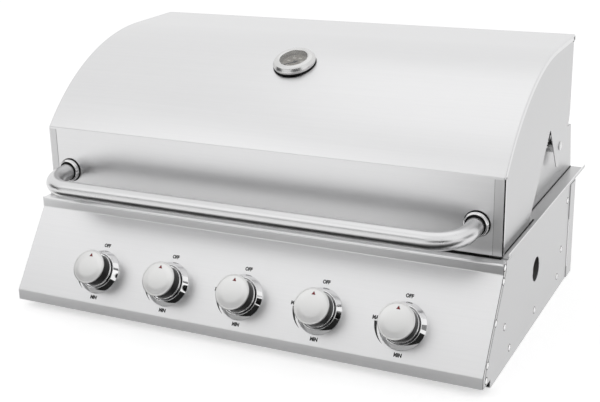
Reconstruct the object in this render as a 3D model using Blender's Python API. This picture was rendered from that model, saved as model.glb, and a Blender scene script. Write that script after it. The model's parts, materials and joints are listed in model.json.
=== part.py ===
"""A built-in gas grill with five burners, a curved hood and a sloping control panel.

Metres, +Z up, +X to the right of someone who stands in front, front towards -Y.
The origin is on the ground, in the middle of the grill's width and depth.
Depths are measured back from the front face of the control panel's lower lip.
"""

import math

import bmesh
import bpy
from mathutils import Matrix, Vector

# Sheet metal and clearances
SHEET = 0.0012
GAP = 0.0003
OVERRUN = 0.010
WELD = 0.00001

# Control panel, from the lip up
PANEL_WIDTH = 0.830
LIP_FOOT = 0.0146
LIP_HEIGHT = 0.0198
SLOPE_RUN = 0.087
SLOPE_RISE = 0.125
STRIP_HEIGHT = 0.0163
LIP_RETURN = 0.018
END_RETURN = 0.014

# Cabinet
SIDE_SHEET_DEPTH = 0.538
SIDE_TOE_DEPTH = 0.041
SIDE_FOOT_WIDTH = 0.012
REAR_WRAP = 0.035
LEDGE_OVERHANG = 0.076
LEDGE_FLOOR_WIDTH = 0.030
RIM_HEIGHT = 0.0077
REAR_LEDGE_LIP = 0.010
VENT_SLOTS = 9
VENT_SLOT_WIDTH = 0.050
VENT_SLOT_HEIGHT = 0.009
VENT_END_MARGIN = 0.070
VENT_HEIGHT = 0.115

# Firebox
FIREBOX_SIDE_SPACE = 0.027
FIREBOX_FRONT_SPACE = 0.045
FIREBOX_BACK_SPACE = 0.006
FIREBOX_FOOT = 0.0098
FIREBOX_WALL_FOOT = 0.040
RUNNER_WIDTH = 0.012
SHELF_WIDTH = 0.010
GRATE_SHELF_DROP = 0.0177
TAMER_SHELF_DROP = 0.060

# Grease tray
TRAY_FRONT_DEPTH = 0.046
TRAY_FLOOR = 0.002
TRAY_RIM_WIDTH = 0.009
TRAY_SIDE_CLEARANCE = 0.003
TRAY_LIP_HEIGHT = 0.008

# Hood
HOOD_SIDE_INSET = 0.0085
HOOD_FOOT_CLEARANCE = 0.001
HOOD_FRONT_SETBACK = 0.0226
HOOD_ARC_RADIUS = 0.388
HOOD_FRONT_SHARE = 0.76495
HOOD_ARC_DROP = 0.1292
HOOD_CREST_LEAD = 0.0108
HOOD_BACK_SETBACK = 0.021
HOOD_TOP_RISE = 0.00285
HOOD_BACK_LIP = 0.012
HOOD_RIM_BAND = 0.009
HOOD_ARC_STEPS = 30
LINER_SPACE = 0.020
LINER_FRONT_RISE = 0.1115
LINER_BACK_INSET = 0.047
LINER_STEPS = 14

# Hood ends: the notch, the hinge tongue behind it and the pivot
PIVOT_INSET = 0.0693
PIVOT_RISE = 0.0826
PIN_RADIUS = 0.004
PIN_CLEARANCE = 0.0003
PIN_HEAD_RADIUS = 0.0075
PIN_HEAD_HEIGHT = 0.0025
PIN_COLLAR_RADIUS = 0.012
END_FOOT_RISE = 0.0005
NOTCH_FOOT_LEAD = 0.1887
NOTCH_APEX_LEAD = 0.0742
NOTCH_APEX_RISE = 0.0434
NOTCH_APEX_WIDTH = 0.005
TONGUE_TIP_RADIUS = 0.017
TONGUE_TIP_LEAD = 0.0072
TONGUE_TIP_DROP = 0.0181
TONGUE_HEEL_INSET = 0.0075
TONGUE_HEEL_RISE = 0.0299
END_BACK_INSET = 0.003

# Hinge plates, rear baffle and the warming rack that rests on the plates
PLATE_FOOT_LEAD = 0.1477
PLATE_TOP_LEAD = 0.0627
PLATE_TOP_RISE = 0.0019
PLATE_BACK_LEAN = 0.017
PLATE_BACK_INSET = 0.001
PLATE_SIDE_SPACE = 0.002
EAR_RADIUS = 0.017
EAR_STEPS = 8
PLATE_FLANGE = 0.010
BAFFLE_FLANGE = 0.014
RACK_SHELF_DROP = 0.017
RACK_FRONT_LEAD = 0.0557
RACK_BACK_INSET = 0.013
RACK_BARS = 7
RACK_BAR = 0.006
RACK_CROSS_BARS = 5
RACK_THICKNESS = 0.006

# Handle
HANDLE_RADIUS = 0.014
HANDLE_INSET = 0.040
HANDLE_ROOT_RISE = 0.0462
HANDLE_STAND_OFF = 0.080
HANDLE_DROP = 0.0065
HANDLE_BEND_RADIUS = 0.052
HANDLE_BEND_STEPS = 10
HANDLE_SIDES_SETTING = 5
BASE_RADIUS = 0.0195
BASE_BORE_RADIUS = 0.0155
BASE_HEIGHT = 0.009
BASE_CHAMFER = 0.002

# Thermometer, on the hood's curve
THERMOMETER_ANGLE_DEG = 112.3
BEZEL_RING_RADIUS = 0.037
BEZEL_RING_HEIGHT = 0.014
BEZEL_RING_SHOULDER = 0.006
BEZEL_RING_CROWN_RADIUS = 0.029
WINDOW_RADIUS = 0.0235
GLASS_THICKNESS = 0.0015
GLASS_INSET = 0.001
DIAL_HEIGHT = 0.0018
DIAL_THICKNESS = 0.001
NEEDLE_REST_DEG = 125
NEEDLE_LENGTH = 0.018
NEEDLE_TAIL = 0.006
NEEDLE_WIDTH = 0.002
NEEDLE_THICKNESS = 0.0008
NEEDLE_HUB_RADIUS = 0.003
PROBE_RADIUS = 0.003
PROBE_LENGTH = 0.060

# Knobs and the bezels round them
KNOB_COUNT = 5
KNOB_PITCH = 0.136
KNOB_ROW_OFFSET = 0.011
KNOB_UP_SLOPE = 0.054
BEZEL_RADIUS = 0.0385
BEZEL_HEIGHT = 0.013
BEZEL_CROWN_RADIUS = 0.0315
BEZEL_BORE_RADIUS = 0.0300
BEZEL_FOOT_EDGE = 0.002
KNOB_FOOT = 0.007
KNOB_GRIP_RADIUS = 0.0268
KNOB_COLLAR_RADIUS = 0.0283
KNOB_COLLAR_HEIGHT = 0.013
KNOB_COLLAR_THICKNESS = 0.003
KNOB_CAP_RADIUS = 0.0290
KNOB_CAP_FOOT = 0.0290
KNOB_CAP_RIM = 0.0350
KNOB_CAP_HEIGHT = 0.0390
KNOB_BORE_DEPTH = 0.020
KNOB_WALL = 0.0025
KNOB_BOSS_RADIUS = 0.0075
KNOB_DOME_STEPS = 4
KNOB_PUSH = 0.004

# Valves and stems
STEM_RADIUS = 0.004
STEM_CLEARANCE = 0.0003
STEM_HOLE_RADIUS = 0.009
STEM_INNER_END = 0.032
VALVE_TOP = 0.010
VALVE_LENGTH = 0.046
VALVE_WIDTH = 0.024
VALVE_BORE_MARGIN = 0.003
NOZZLE_RADIUS = 0.004
NOZZLE_ROOT_DEPTH = 0.066

# Gas manifold
MANIFOLD_RADIUS = 0.010
MANIFOLD_SEAT = 0.030
MANIFOLD_END_MARGIN = 0.039
MANIFOLD_SIDE_SPACE = 0.014
MANIFOLD_BEND_RADIUS = 0.025
MANIFOLD_BEND_STEPS = 6
MANIFOLD_SIDES_SETTING = 4
INLET_DEPTH = 0.2816
INLET_HEIGHT = 0.0979
INLET_HOLE_RADIUS = 0.0205
INLET_DROP = 0.006
BRACKET_THICKNESS = 0.003
BRACKET_RING = 0.005
BRACKET_ROOT_HEIGHT = 0.096
BRACKET_STEPS = 8

# Burners, flame tamers and cooking grates
BURNER_DROP = 0.032
BURNER_RADIUS = 0.0127
BURNER_MOUTH_LEAD = 0.020
BURNER_MOUTH_BORE = 0.009
BURNER_MOUTH_LENGTH = 0.030
BURNER_END_INSET = 0.032
BURNER_TAPER = 0.012
BURNER_SPIGOT_RADIUS = 0.005
NOZZLE_ENTRY = 0.008
TAMER_HALF_WIDTH = 0.048
TAMER_RISE = 0.028
TAMER_PEAK_HALF_WIDTH = 0.006
GRATE_COUNT = 3
GRATE_THICKNESS = 0.010
GRATE_BAR = 0.006
GRATE_BARS = 15
GRATE_END_BAR = 0.010
GRATE_SPACE = 0.002

# Sizes that follow from those above
LIP_TOP = LIP_FOOT + LIP_HEIGHT
STRIP_FOOT = LIP_TOP + SLOPE_RISE
STRIP_TOP = STRIP_FOOT + STRIP_HEIGHT
HALF_PANEL = PANEL_WIDTH / 2
SLOPE_LENGTH = math.hypot(SLOPE_RUN, SLOPE_RISE)
SLOPE_BACK = SLOPE_RUN / SLOPE_LENGTH
SLOPE_UP = SLOPE_RISE / SLOPE_LENGTH
LEDGE_FLOOR = STRIP_TOP + 2 * GAP
LEDGE_TOP = LEDGE_FLOOR + SHEET
HALF_OVERALL = HALF_PANEL + GAP + SHEET
VENT_SLOT_PITCH = (PANEL_WIDTH - 2 * VENT_END_MARGIN - VENT_SLOT_WIDTH) / (VENT_SLOTS - 1)
LEDGE_BACK_DEPTH = SIDE_SHEET_DEPTH + LEDGE_OVERHANG
FIREBOX_HALF_WIDTH = HALF_PANEL - FIREBOX_SIDE_SPACE
FIREBOX_FRONT_DEPTH = SLOPE_RUN + FIREBOX_FRONT_SPACE
FIREBOX_BACK_DEPTH = SIDE_SHEET_DEPTH - FIREBOX_BACK_SPACE
GRATE_SHELF_HEIGHT = STRIP_TOP - GRATE_SHELF_DROP
TAMER_SHELF_HEIGHT = GRATE_SHELF_HEIGHT - TAMER_SHELF_DROP
BURNER_HEIGHT = TAMER_SHELF_HEIGHT - BURNER_DROP
BURNER_MOUTH_DEPTH = FIREBOX_FRONT_DEPTH - BURNER_MOUTH_LEAD
BURNER_END_DEPTH = FIREBOX_BACK_DEPTH - BURNER_END_INSET
HOOD_HALF_WIDTH = HALF_PANEL - HOOD_SIDE_INSET
HOOD_FOOT = LEDGE_TOP + HOOD_FOOT_CLEARANCE
HOOD_FRONT_DEPTH = SLOPE_RUN + HOOD_FRONT_SETBACK
HOOD_BACK_DEPTH = SIDE_SHEET_DEPTH - HOOD_BACK_SETBACK
HOOD_ARC_DEPTH = HOOD_FRONT_DEPTH + HOOD_ARC_RADIUS * HOOD_FRONT_SHARE
HOOD_ARC_HEIGHT = HOOD_FOOT - HOOD_ARC_DROP
HOOD_CREST_DEPTH = HOOD_ARC_DEPTH - HOOD_CREST_LEAD
HOOD_CREST_HEIGHT = HOOD_ARC_HEIGHT + math.sqrt(HOOD_ARC_RADIUS**2 - HOOD_CREST_LEAD**2)
HOOD_BACK_HEIGHT = HOOD_CREST_HEIGHT + HOOD_TOP_RISE
LINER_FRONT_HEIGHT = HOOD_FOOT + LINER_FRONT_RISE
LINER_BACK_DEPTH = HOOD_BACK_DEPTH - LINER_BACK_INSET
PIVOT_DEPTH = HOOD_BACK_DEPTH - PIVOT_INSET
PIVOT_HEIGHT = LEDGE_TOP + PIVOT_RISE
END_FOOT = HOOD_FOOT + END_FOOT_RISE
NOTCH_FOOT_DEPTH = PIVOT_DEPTH - NOTCH_FOOT_LEAD
NOTCH_APEX_DEPTH = PIVOT_DEPTH - NOTCH_APEX_LEAD
NOTCH_APEX_HEIGHT = PIVOT_HEIGHT + NOTCH_APEX_RISE
TONGUE_TIP_DEPTH = PIVOT_DEPTH - TONGUE_TIP_LEAD
TONGUE_TIP_HEIGHT = PIVOT_HEIGHT - TONGUE_TIP_DROP
TONGUE_HEEL_DEPTH = HOOD_BACK_DEPTH - TONGUE_HEEL_INSET
TONGUE_HEEL_HEIGHT = PIVOT_HEIGHT + TONGUE_HEEL_RISE
PLATE_FOOT_FRONT_DEPTH = PIVOT_DEPTH - PLATE_FOOT_LEAD
PLATE_TOP_FRONT_DEPTH = PIVOT_DEPTH - PLATE_TOP_LEAD
PLATE_TOP_BACK_DEPTH = LEDGE_BACK_DEPTH - PLATE_BACK_LEAN
PLATE_TOP_HEIGHT = PIVOT_HEIGHT + PLATE_TOP_RISE
PLATE_HALF_SPACING = FIREBOX_HALF_WIDTH + PLATE_SIDE_SPACE
RACK_SHELF_HEIGHT = PLATE_TOP_HEIGHT - RACK_SHELF_DROP
RACK_FRONT_DEPTH = PIVOT_DEPTH - RACK_FRONT_LEAD
RACK_BACK_DEPTH = HOOD_BACK_DEPTH - RACK_BACK_INSET
HANDLE_HALF_WIDTH = HOOD_HALF_WIDTH - HANDLE_INSET
HANDLE_ROOT_HEIGHT = HOOD_FOOT + HANDLE_ROOT_RISE
MANIFOLD_SIDE_OFFSET = HALF_PANEL - MANIFOLD_SIDE_SPACE
KNOB_FRONT_REACH = SLOPE_UP * KNOB_CAP_RIM + SLOPE_BACK * (KNOB_CAP_RADIUS - KNOB_UP_SLOPE)
MIDDLE_DEPTH = (LEDGE_BACK_DEPTH - KNOB_FRONT_REACH) / 2
CABINET_BACK_DEPTH = SIDE_SHEET_DEPTH + GAP + SHEET


def at(depth):
    """The y coordinate of a depth behind the lip's front face."""
    return depth - MIDDLE_DEPTH


def finish(name, colour, roughness, metallic):
    """One Principled material."""
    made = bpy.data.materials.new(name)
    made.use_nodes = True
    shader = made.node_tree.nodes["Principled BSDF"]
    shader.inputs["Base Color"].default_value = (*colour, 1)
    shader.inputs["Roughness"].default_value = roughness
    shader.inputs["Metallic"].default_value = metallic
    made.diffuse_color = (*colour, 1)
    return made


STAINLESS = ((0.72, 0.72, 0.73), 0.32, 1.0)
DARK_STEEL = ((0.22, 0.22, 0.23), 0.50, 1.0)
CHROME = ((0.85, 0.85, 0.86), 0.08, 1.0)
BRASS = ((0.72, 0.55, 0.25), 0.35, 1.0)
BLACK = ((0.02, 0.02, 0.02), 0.45, 0.0)
GLASS = ((0.85, 0.90, 0.92), 0.05, 0.0)
DIAL_GREY = ((0.30, 0.30, 0.31), 0.55, 0.0)
RED = ((0.60, 0.03, 0.03), 0.45, 0.0)


def placed(name, shape, look, smooth=False):
    """Turns a bmesh into a named object with a material of its own."""
    bmesh.ops.remove_doubles(shape, verts=shape.verts, dist=WELD)
    bmesh.ops.recalc_face_normals(shape, faces=shape.faces)
    mesh = bpy.data.meshes.new(name)
    shape.to_mesh(mesh)
    shape.free()
    if smooth:
        mesh.shade_smooth()
        mesh.set_sharp_from_angle(angle=math.radians(35))
    made = bpy.data.objects.new(name, mesh)
    bpy.context.scene.collection.objects.link(made)
    mesh.materials.append(finish(name, *look))
    return made


def extrusion(outline, axis, low, high):
    """A flat outline carried along X, Y or Z. The outline holds the other two coordinates, in order."""
    places = {"X": lambda u, v: (low, u, v), "Y": lambda u, v: (u, low, v), "Z": lambda u, v: (u, v, low)}
    run = {"X": (1, 0, 0), "Y": (0, 1, 0), "Z": (0, 0, 1)}[axis]
    shape = bmesh.new()
    corners = [shape.verts.new(places[axis](*point)) for point in outline]
    face = shape.faces.new(corners)
    swept = bmesh.ops.extrude_face_region(shape, geom=[face])
    moved = [item for item in swept["geom"] if isinstance(item, bmesh.types.BMVert)]
    bmesh.ops.translate(shape, verts=moved, vec=Vector(run) * (high - low))
    return shape


def block(x_low, x_high, y_low, y_high, z_low, z_high):
    """A box between two corners."""
    return extrusion([(x_low, y_low), (x_high, y_low), (x_high, y_high), (x_low, y_high)], "Z", z_low, z_high)


def turned(profile, sides, closed=False):
    """A profile of radius and height turned about Z. A closed profile makes a ring."""
    shape = bmesh.new()
    points = [shape.verts.new((radius, 0, height)) for radius, height in profile]
    pairs = list(zip(points, points[1:]))
    if closed:
        pairs.append((points[-1], points[0]))
    edges = [shape.edges.new(pair) for pair in pairs]
    bmesh.ops.spin(
        shape, geom=points + edges, axis=(0, 0, 1), cent=(0, 0, 0), steps=sides, angle=math.tau, use_merge=True
    )
    return shape


def facing(shape, place, direction):
    """Moves a shape built along Z to a place, with Z turned to a direction."""
    turn = Vector(direction).to_track_quat("Z", "Y").to_matrix().to_4x4()
    bmesh.ops.transform(shape, matrix=Matrix.Translation(place) @ turn, verts=shape.verts)
    return shape


def rod(place, direction, radius, length, sides=16):
    """A plain round rod that starts at a place."""
    return facing(turned([(0, 0), (radius, 0), (radius, length), (0, length)], sides), place, direction)


def joined(*shapes):
    """Several shapes in one bmesh, for a cutter."""
    whole = bmesh.new()
    for shape in shapes:
        mesh = bpy.data.meshes.new("part_of_cutter")
        bmesh.ops.recalc_face_normals(shape, faces=shape.faces)
        shape.to_mesh(mesh)
        shape.free()
        whole.from_mesh(mesh)
        bpy.data.meshes.remove(mesh)
    return whole


def combine(target, operation, name, shape):
    """Adds a Boolean with a hidden operand."""
    operand = placed(name, shape, BLACK)
    operand.hide_render = True
    operand.display_type = "WIRE"
    step = target.modifiers.new(name, "BOOLEAN")
    step.operation = operation
    step.object = operand
    return operand


def carrier(name, place, direction=(0, 0, 1)):
    """An empty on a joint's axis, with its Z along the axis."""
    made = bpy.data.objects.new(name, None)
    made.location = place
    made.rotation_mode = "QUATERNION"
    made.rotation_quaternion = Vector(direction).to_track_quat("Z", "Y")
    bpy.context.scene.collection.objects.link(made)
    bpy.context.view_layer.update()
    return made


def hang_on(parent, *pieces):
    """Parents pieces that were made in world places, and leaves them there."""
    for piece in pieces:
        piece.parent = parent
        piece.matrix_parent_inverse = parent.matrix_world.inverted()


def lattice(x_edges, y_edges, solid, z_low, z_high):
    """A flat plate of cells. solid(column, row) says which cells are metal and which are open."""
    shape = bmesh.new()
    columns = len(x_edges) - 1
    rows = len(y_edges) - 1
    layers = [{}, {}]

    def corner(i, j, layer):
        if (i, j) not in layers[layer]:
            height = (z_low, z_high)[layer]
            layers[layer][i, j] = shape.verts.new((x_edges[i], y_edges[j], height))
        return layers[layer][i, j]

    def filled(i, j):
        return 0 <= i < columns and 0 <= j < rows and solid(i, j)

    for i in range(columns):
        for j in range(rows):
            if not filled(i, j):
                continue
            around = [(i, j), (i + 1, j), (i + 1, j + 1), (i, j + 1)]
            shape.faces.new([corner(*point, 1) for point in around])
            shape.faces.new([corner(*point, 0) for point in reversed(around)])
            sides = [((0, 1), (i, j - 1)), ((1, 2), (i + 1, j)), ((2, 3), (i, j + 1)), ((3, 0), (i - 1, j))]
            for (first, second), neighbour in sides:
                if not filled(*neighbour):
                    a, b = around[first], around[second]
                    shape.faces.new([corner(*a, 0), corner(*b, 0), corner(*b, 1), corner(*a, 1)])
    return shape


def bars_between(low, high, bar, count):
    """Edges of evenly spaced bars: bar, gap, bar and so on, with a bar at each end."""
    gap = (high - low - bar * count) / (count - 1)
    edges = [low]
    for _ in range(count - 1):
        edges += [edges[-1] + bar, edges[-1] + bar + gap]
    return edges + [high]


def knob_places():
    """The middle of each knob along the panel, from the left."""
    first = KNOB_ROW_OFFSET - KNOB_PITCH * (KNOB_COUNT - 1) / 2
    return [first + KNOB_PITCH * index for index in range(KNOB_COUNT)]


def on_slope(x, up, out):
    """A point by its distance up the sloping panel and out from its face."""
    return Vector((x, at(SLOPE_BACK * up - SLOPE_UP * out), LIP_TOP + SLOPE_UP * up + SLOPE_BACK * out))


SLOPE_OUT = Vector((0, -SLOPE_UP, SLOPE_BACK))


def hood_outline(inset, back_depth, foot):
    """The hood's side profile, from the front foot over the curve to the back, inset from its outer face."""
    centre = (HOOD_ARC_DEPTH, HOOD_ARC_HEIGHT)
    radius = HOOD_ARC_RADIUS - inset
    front = HOOD_FRONT_DEPTH + inset
    start = math.pi - math.acos((centre[0] - front) / radius)
    end = math.acos((HOOD_CREST_DEPTH - centre[0]) / radius)
    points = [(at(front), foot)]
    for step in range(HOOD_ARC_STEPS + 1):
        angle = start + (end - start) * step / HOOD_ARC_STEPS
        points.append((at(centre[0] + radius * math.cos(angle)), centre[1] + radius * math.sin(angle)))
    points.append((at(back_depth), HOOD_BACK_HEIGHT - inset))
    return points


def control_panel():
    """The bent front sheet: lower return, lip, slope, strip and ledge, with a return at each end."""
    drop = SHEET * math.tan((math.pi / 2 - math.atan2(SLOPE_RUN, SLOPE_RISE)) / 2)
    lean = SHEET * math.tan(math.atan2(SLOPE_RUN, SLOPE_RISE) / 2)
    back = FIREBOX_FRONT_DEPTH - GAP
    outer = [(LIP_RETURN, LIP_FOOT), (0, LIP_FOOT), (0, LIP_TOP), (SLOPE_RUN, STRIP_FOOT), (SLOPE_RUN, STRIP_TOP)]
    outer.append((back, STRIP_TOP))
    inner = [(back, STRIP_TOP - SHEET), (SLOPE_RUN + SHEET, STRIP_TOP - SHEET)]
    inner += [(SLOPE_RUN + SHEET, STRIP_FOOT - lean), (SHEET, LIP_TOP - lean), (SHEET, LIP_FOOT + SHEET)]
    inner.append((LIP_RETURN, LIP_FOOT + SHEET))
    outline = [(at(depth), height) for depth, height in outer + inner]
    panel = placed("control_panel", extrusion(outline, "X", -HALF_PANEL, HALF_PANEL), STAINLESS)
    seat = GAP + SHEET
    for side, name in ((-1, "left"), (1, "right")):
        edge = HALF_PANEL - seat
        low, high = sorted((side * edge, side * (edge - SHEET)))
        web = [(SHEET / 2, LIP_FOOT + SHEET / 2), (SHEET / 2, LIP_TOP - drop / 2)]
        web += [(SLOPE_RUN + SHEET / 2, STRIP_FOOT - lean / 2), (SLOPE_RUN + SHEET / 2, STRIP_TOP - SHEET / 2)]
        web += [(SLOPE_RUN + END_RETURN, STRIP_TOP - SHEET / 2), (SLOPE_RUN + END_RETURN, STRIP_FOOT - END_RETURN)]
        web += [(END_RETURN, LIP_TOP - END_RETURN / 2), (END_RETURN, LIP_FOOT + SHEET / 2)]
        outline = [(at(depth), height) for depth, height in web]
        combine(panel, "UNION", f"panel_end_return_{name}", extrusion(outline, "X", low, high))
    holes = [rod(on_slope(x, KNOB_UP_SLOPE, -OVERRUN), SLOPE_OUT, STEM_HOLE_RADIUS, 2 * OVERRUN) for x in knob_places()]
    combine(panel, "DIFFERENCE", "stem_holes", joined(*holes))
    return panel


def side_panel(name, side):
    """An outer side that stands on a turned-in foot. The right one has the round hole for the gas supply."""
    seat = SHEET + GAP
    lean = seat / SLOPE_UP
    low, high = sorted((side * HALF_PANEL, side * (HALF_PANEL - SHEET)))
    under_lip = LIP_FOOT + seat
    points = [(SIDE_TOE_DEPTH, 0), (SIDE_TOE_DEPTH, LIP_FOOT), (LIP_RETURN + GAP, LIP_FOOT), (LIP_RETURN + GAP, under_lip)]
    points += [(seat, under_lip), (seat, LIP_TOP - lean * SLOPE_BACK / 2)]
    points += [(SLOPE_RUN + seat, STRIP_FOOT - lean * SLOPE_BACK / 2), (SLOPE_RUN + seat, STRIP_TOP - seat)]
    points += [(FIREBOX_FRONT_DEPTH, STRIP_TOP - seat), (FIREBOX_FRONT_DEPTH, STRIP_TOP + GAP)]
    points += [(SIDE_SHEET_DEPTH, STRIP_TOP + GAP), (SIDE_SHEET_DEPTH, 0)]
    outline = [(at(depth), height) for depth, height in points]
    panel = placed(name, extrusion(outline, "X", low, high), STAINLESS)
    reach = sorted((side * (HALF_PANEL - SIDE_FOOT_WIDTH), side * (HALF_PANEL - SHEET / 2)))
    foot = block(*reach, at(SIDE_TOE_DEPTH), at(SIDE_SHEET_DEPTH), 0, SHEET)
    combine(panel, "UNION", f"{name}_foot", foot)
    if side > 0:
        start = (high + OVERRUN, at(INLET_DEPTH), INLET_HEIGHT)
        hole = rod(start, (-1, 0, 0), INLET_HOLE_RADIUS, 2 * OVERRUN, 28)
        combine(panel, "DIFFERENCE", "gas_inlet_hole", hole)
    return panel


def rear_panel():
    """The back sheet, wrapped a little way round both sides, with a row of vent slots."""
    back = at(CABINET_BACK_DEPTH)
    wrap = back - REAR_WRAP
    inner = HALF_OVERALL - SHEET
    outline = [(-HALF_OVERALL, wrap), (-inner, wrap), (-inner, back - SHEET), (inner, back - SHEET), (inner, wrap)]
    outline += [(HALF_OVERALL, wrap), (HALF_OVERALL, back), (-HALF_OVERALL, back)]
    panel = placed("rear_panel", extrusion(outline, "Z", 0, STRIP_TOP + GAP), STAINLESS)
    slots = []
    for index in range(VENT_SLOTS):
        x = VENT_SLOT_PITCH * (index - (VENT_SLOTS - 1) / 2)
        half = VENT_SLOT_WIDTH / 2
        slots.append(block(x - half, x + half, back - OVERRUN, back + OVERRUN, VENT_HEIGHT, VENT_HEIGHT + VENT_SLOT_HEIGHT))
    combine(panel, "DIFFERENCE", "rear_vent_slots", joined(*slots))
    return panel


def side_ledge(name, side):
    """The ledge beside the hood, with a low upright rim along its outer edge."""
    rim = HALF_OVERALL
    inner = rim - LEDGE_FLOOR_WIDTH
    outline = [(inner, LEDGE_FLOOR), (rim, LEDGE_FLOOR), (rim, LEDGE_FLOOR + RIM_HEIGHT)]
    outline += [(rim - SHEET, LEDGE_FLOOR + RIM_HEIGHT), (rim - SHEET, LEDGE_TOP), (inner, LEDGE_TOP)]
    outline = [(side * x, height) for x, height in outline]
    return placed(name, extrusion(outline, "Y", at(HOOD_FRONT_DEPTH), at(LEDGE_BACK_DEPTH)), STAINLESS)


def rear_ledge():
    """The ledge behind the firebox, between the side ledges, with its back edge turned down."""
    half = HALF_OVERALL - LEDGE_FLOOR_WIDTH - GAP
    front = at(FIREBOX_BACK_DEPTH - SHEET)
    back = at(LEDGE_BACK_DEPTH)
    outline = [(front, LEDGE_FLOOR), (back - SHEET, LEDGE_FLOOR), (back - SHEET, LEDGE_FLOOR - REAR_LEDGE_LIP)]
    outline += [(back, LEDGE_FLOOR - REAR_LEDGE_LIP), (back, LEDGE_TOP), (front, LEDGE_TOP)]
    return placed("rear_ledge", extrusion(outline, "X", -half, half), STAINLESS)


def hinge_plate(name, side):
    """A fixed upright plate on the side ledge, which carries the hood's pivot and an end of the rack."""
    outer = side * PLATE_HALF_SPACING
    inner = side * (PLATE_HALF_SPACING - SHEET)
    foot = LEDGE_TOP + GAP
    reach = math.acos(PLATE_TOP_RISE / EAR_RADIUS)
    points = [(PLATE_FOOT_FRONT_DEPTH, foot), (PLATE_TOP_FRONT_DEPTH, PLATE_TOP_HEIGHT)]
    for step in range(EAR_STEPS + 1):
        angle = -reach + 2 * reach * step / EAR_STEPS
        points.append((PIVOT_DEPTH + EAR_RADIUS * math.sin(angle), PIVOT_HEIGHT + EAR_RADIUS * math.cos(angle)))
    points += [(PLATE_TOP_BACK_DEPTH, PLATE_TOP_HEIGHT), (LEDGE_BACK_DEPTH - PLATE_BACK_INSET, foot)]
    outline = [(at(depth), height) for depth, height in points]
    plate = placed(name, extrusion(outline, "X", *sorted((outer, inner))), STAINLESS)
    flange = side * (PLATE_HALF_SPACING - PLATE_FLANGE)
    low, high = sorted((flange, side * (PLATE_HALF_SPACING - SHEET / 2)))
    shelf_foot = RACK_SHELF_HEIGHT - SHEET
    shelf = block(low, high, at(RACK_FRONT_DEPTH), at(RACK_BACK_DEPTH), shelf_foot, RACK_SHELF_HEIGHT)
    combine(plate, "UNION", f"{name}_flange", shelf)
    start = (outer + side * OVERRUN, at(PIVOT_DEPTH), PIVOT_HEIGHT)
    hole = rod(start, (-side, 0, 0), PIN_RADIUS + PIN_CLEARANCE, 2 * OVERRUN)
    combine(plate, "DIFFERENCE", f"{name}_pin_hole", hole)
    return plate


def rear_baffle():
    """The sloping sheet between the hinge plates, behind the hood."""
    half = PLATE_HALF_SPACING - SHEET - GAP
    foot = LEDGE_TOP + GAP
    bottom = LEDGE_BACK_DEPTH - PLATE_BACK_INSET
    top = PLATE_TOP_BACK_DEPTH
    outline = [(bottom, foot), (top, PLATE_TOP_HEIGHT), (top - BAFFLE_FLANGE, PLATE_TOP_HEIGHT)]
    outline += [(top - BAFFLE_FLANGE, PLATE_TOP_HEIGHT - SHEET), (top - SHEET, PLATE_TOP_HEIGHT - SHEET)]
    outline.append((bottom - SHEET, foot))
    outline = [(at(depth), height) for depth, height in outline]
    return placed("rear_baffle", extrusion(outline, "X", -half, half), STAINLESS)


def hinge_pin(name, side):
    """The pin that the hood turns on: it is fixed in the plate, with a collar that keeps the hood's end clear."""
    tongue_outer = HOOD_HALF_WIDTH - SHEET - GAP
    tongue_inner = tongue_outer - SHEET
    root = PLATE_HALF_SPACING - SHEET - PIN_HEAD_HEIGHT
    heights = {"collar_foot": PLATE_HALF_SPACING + GAP, "collar_top": tongue_inner - GAP, "head": tongue_outer + GAP}
    profile = [(0, root), (PIN_HEAD_RADIUS, root), (PIN_HEAD_RADIUS, PLATE_HALF_SPACING - SHEET - GAP)]
    profile += [(PIN_RADIUS, PLATE_HALF_SPACING - SHEET - GAP), (PIN_RADIUS, heights["collar_foot"])]
    profile += [(PIN_COLLAR_RADIUS, heights["collar_foot"]), (PIN_COLLAR_RADIUS, heights["collar_top"])]
    profile += [(PIN_RADIUS, heights["collar_top"]), (PIN_RADIUS, heights["head"])]
    profile += [(PIN_HEAD_RADIUS, heights["head"]), (PIN_HEAD_RADIUS, heights["head"] + PIN_HEAD_HEIGHT / 2)]
    profile += [(PIN_RADIUS, heights["head"] + PIN_HEAD_HEIGHT), (0, heights["head"] + PIN_HEAD_HEIGHT)]
    shape = facing(turned(profile, 20), (0, at(PIVOT_DEPTH), PIVOT_HEIGHT), (side, 0, 0))
    return placed(name, shape, DARK_STEEL, smooth=True)


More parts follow.
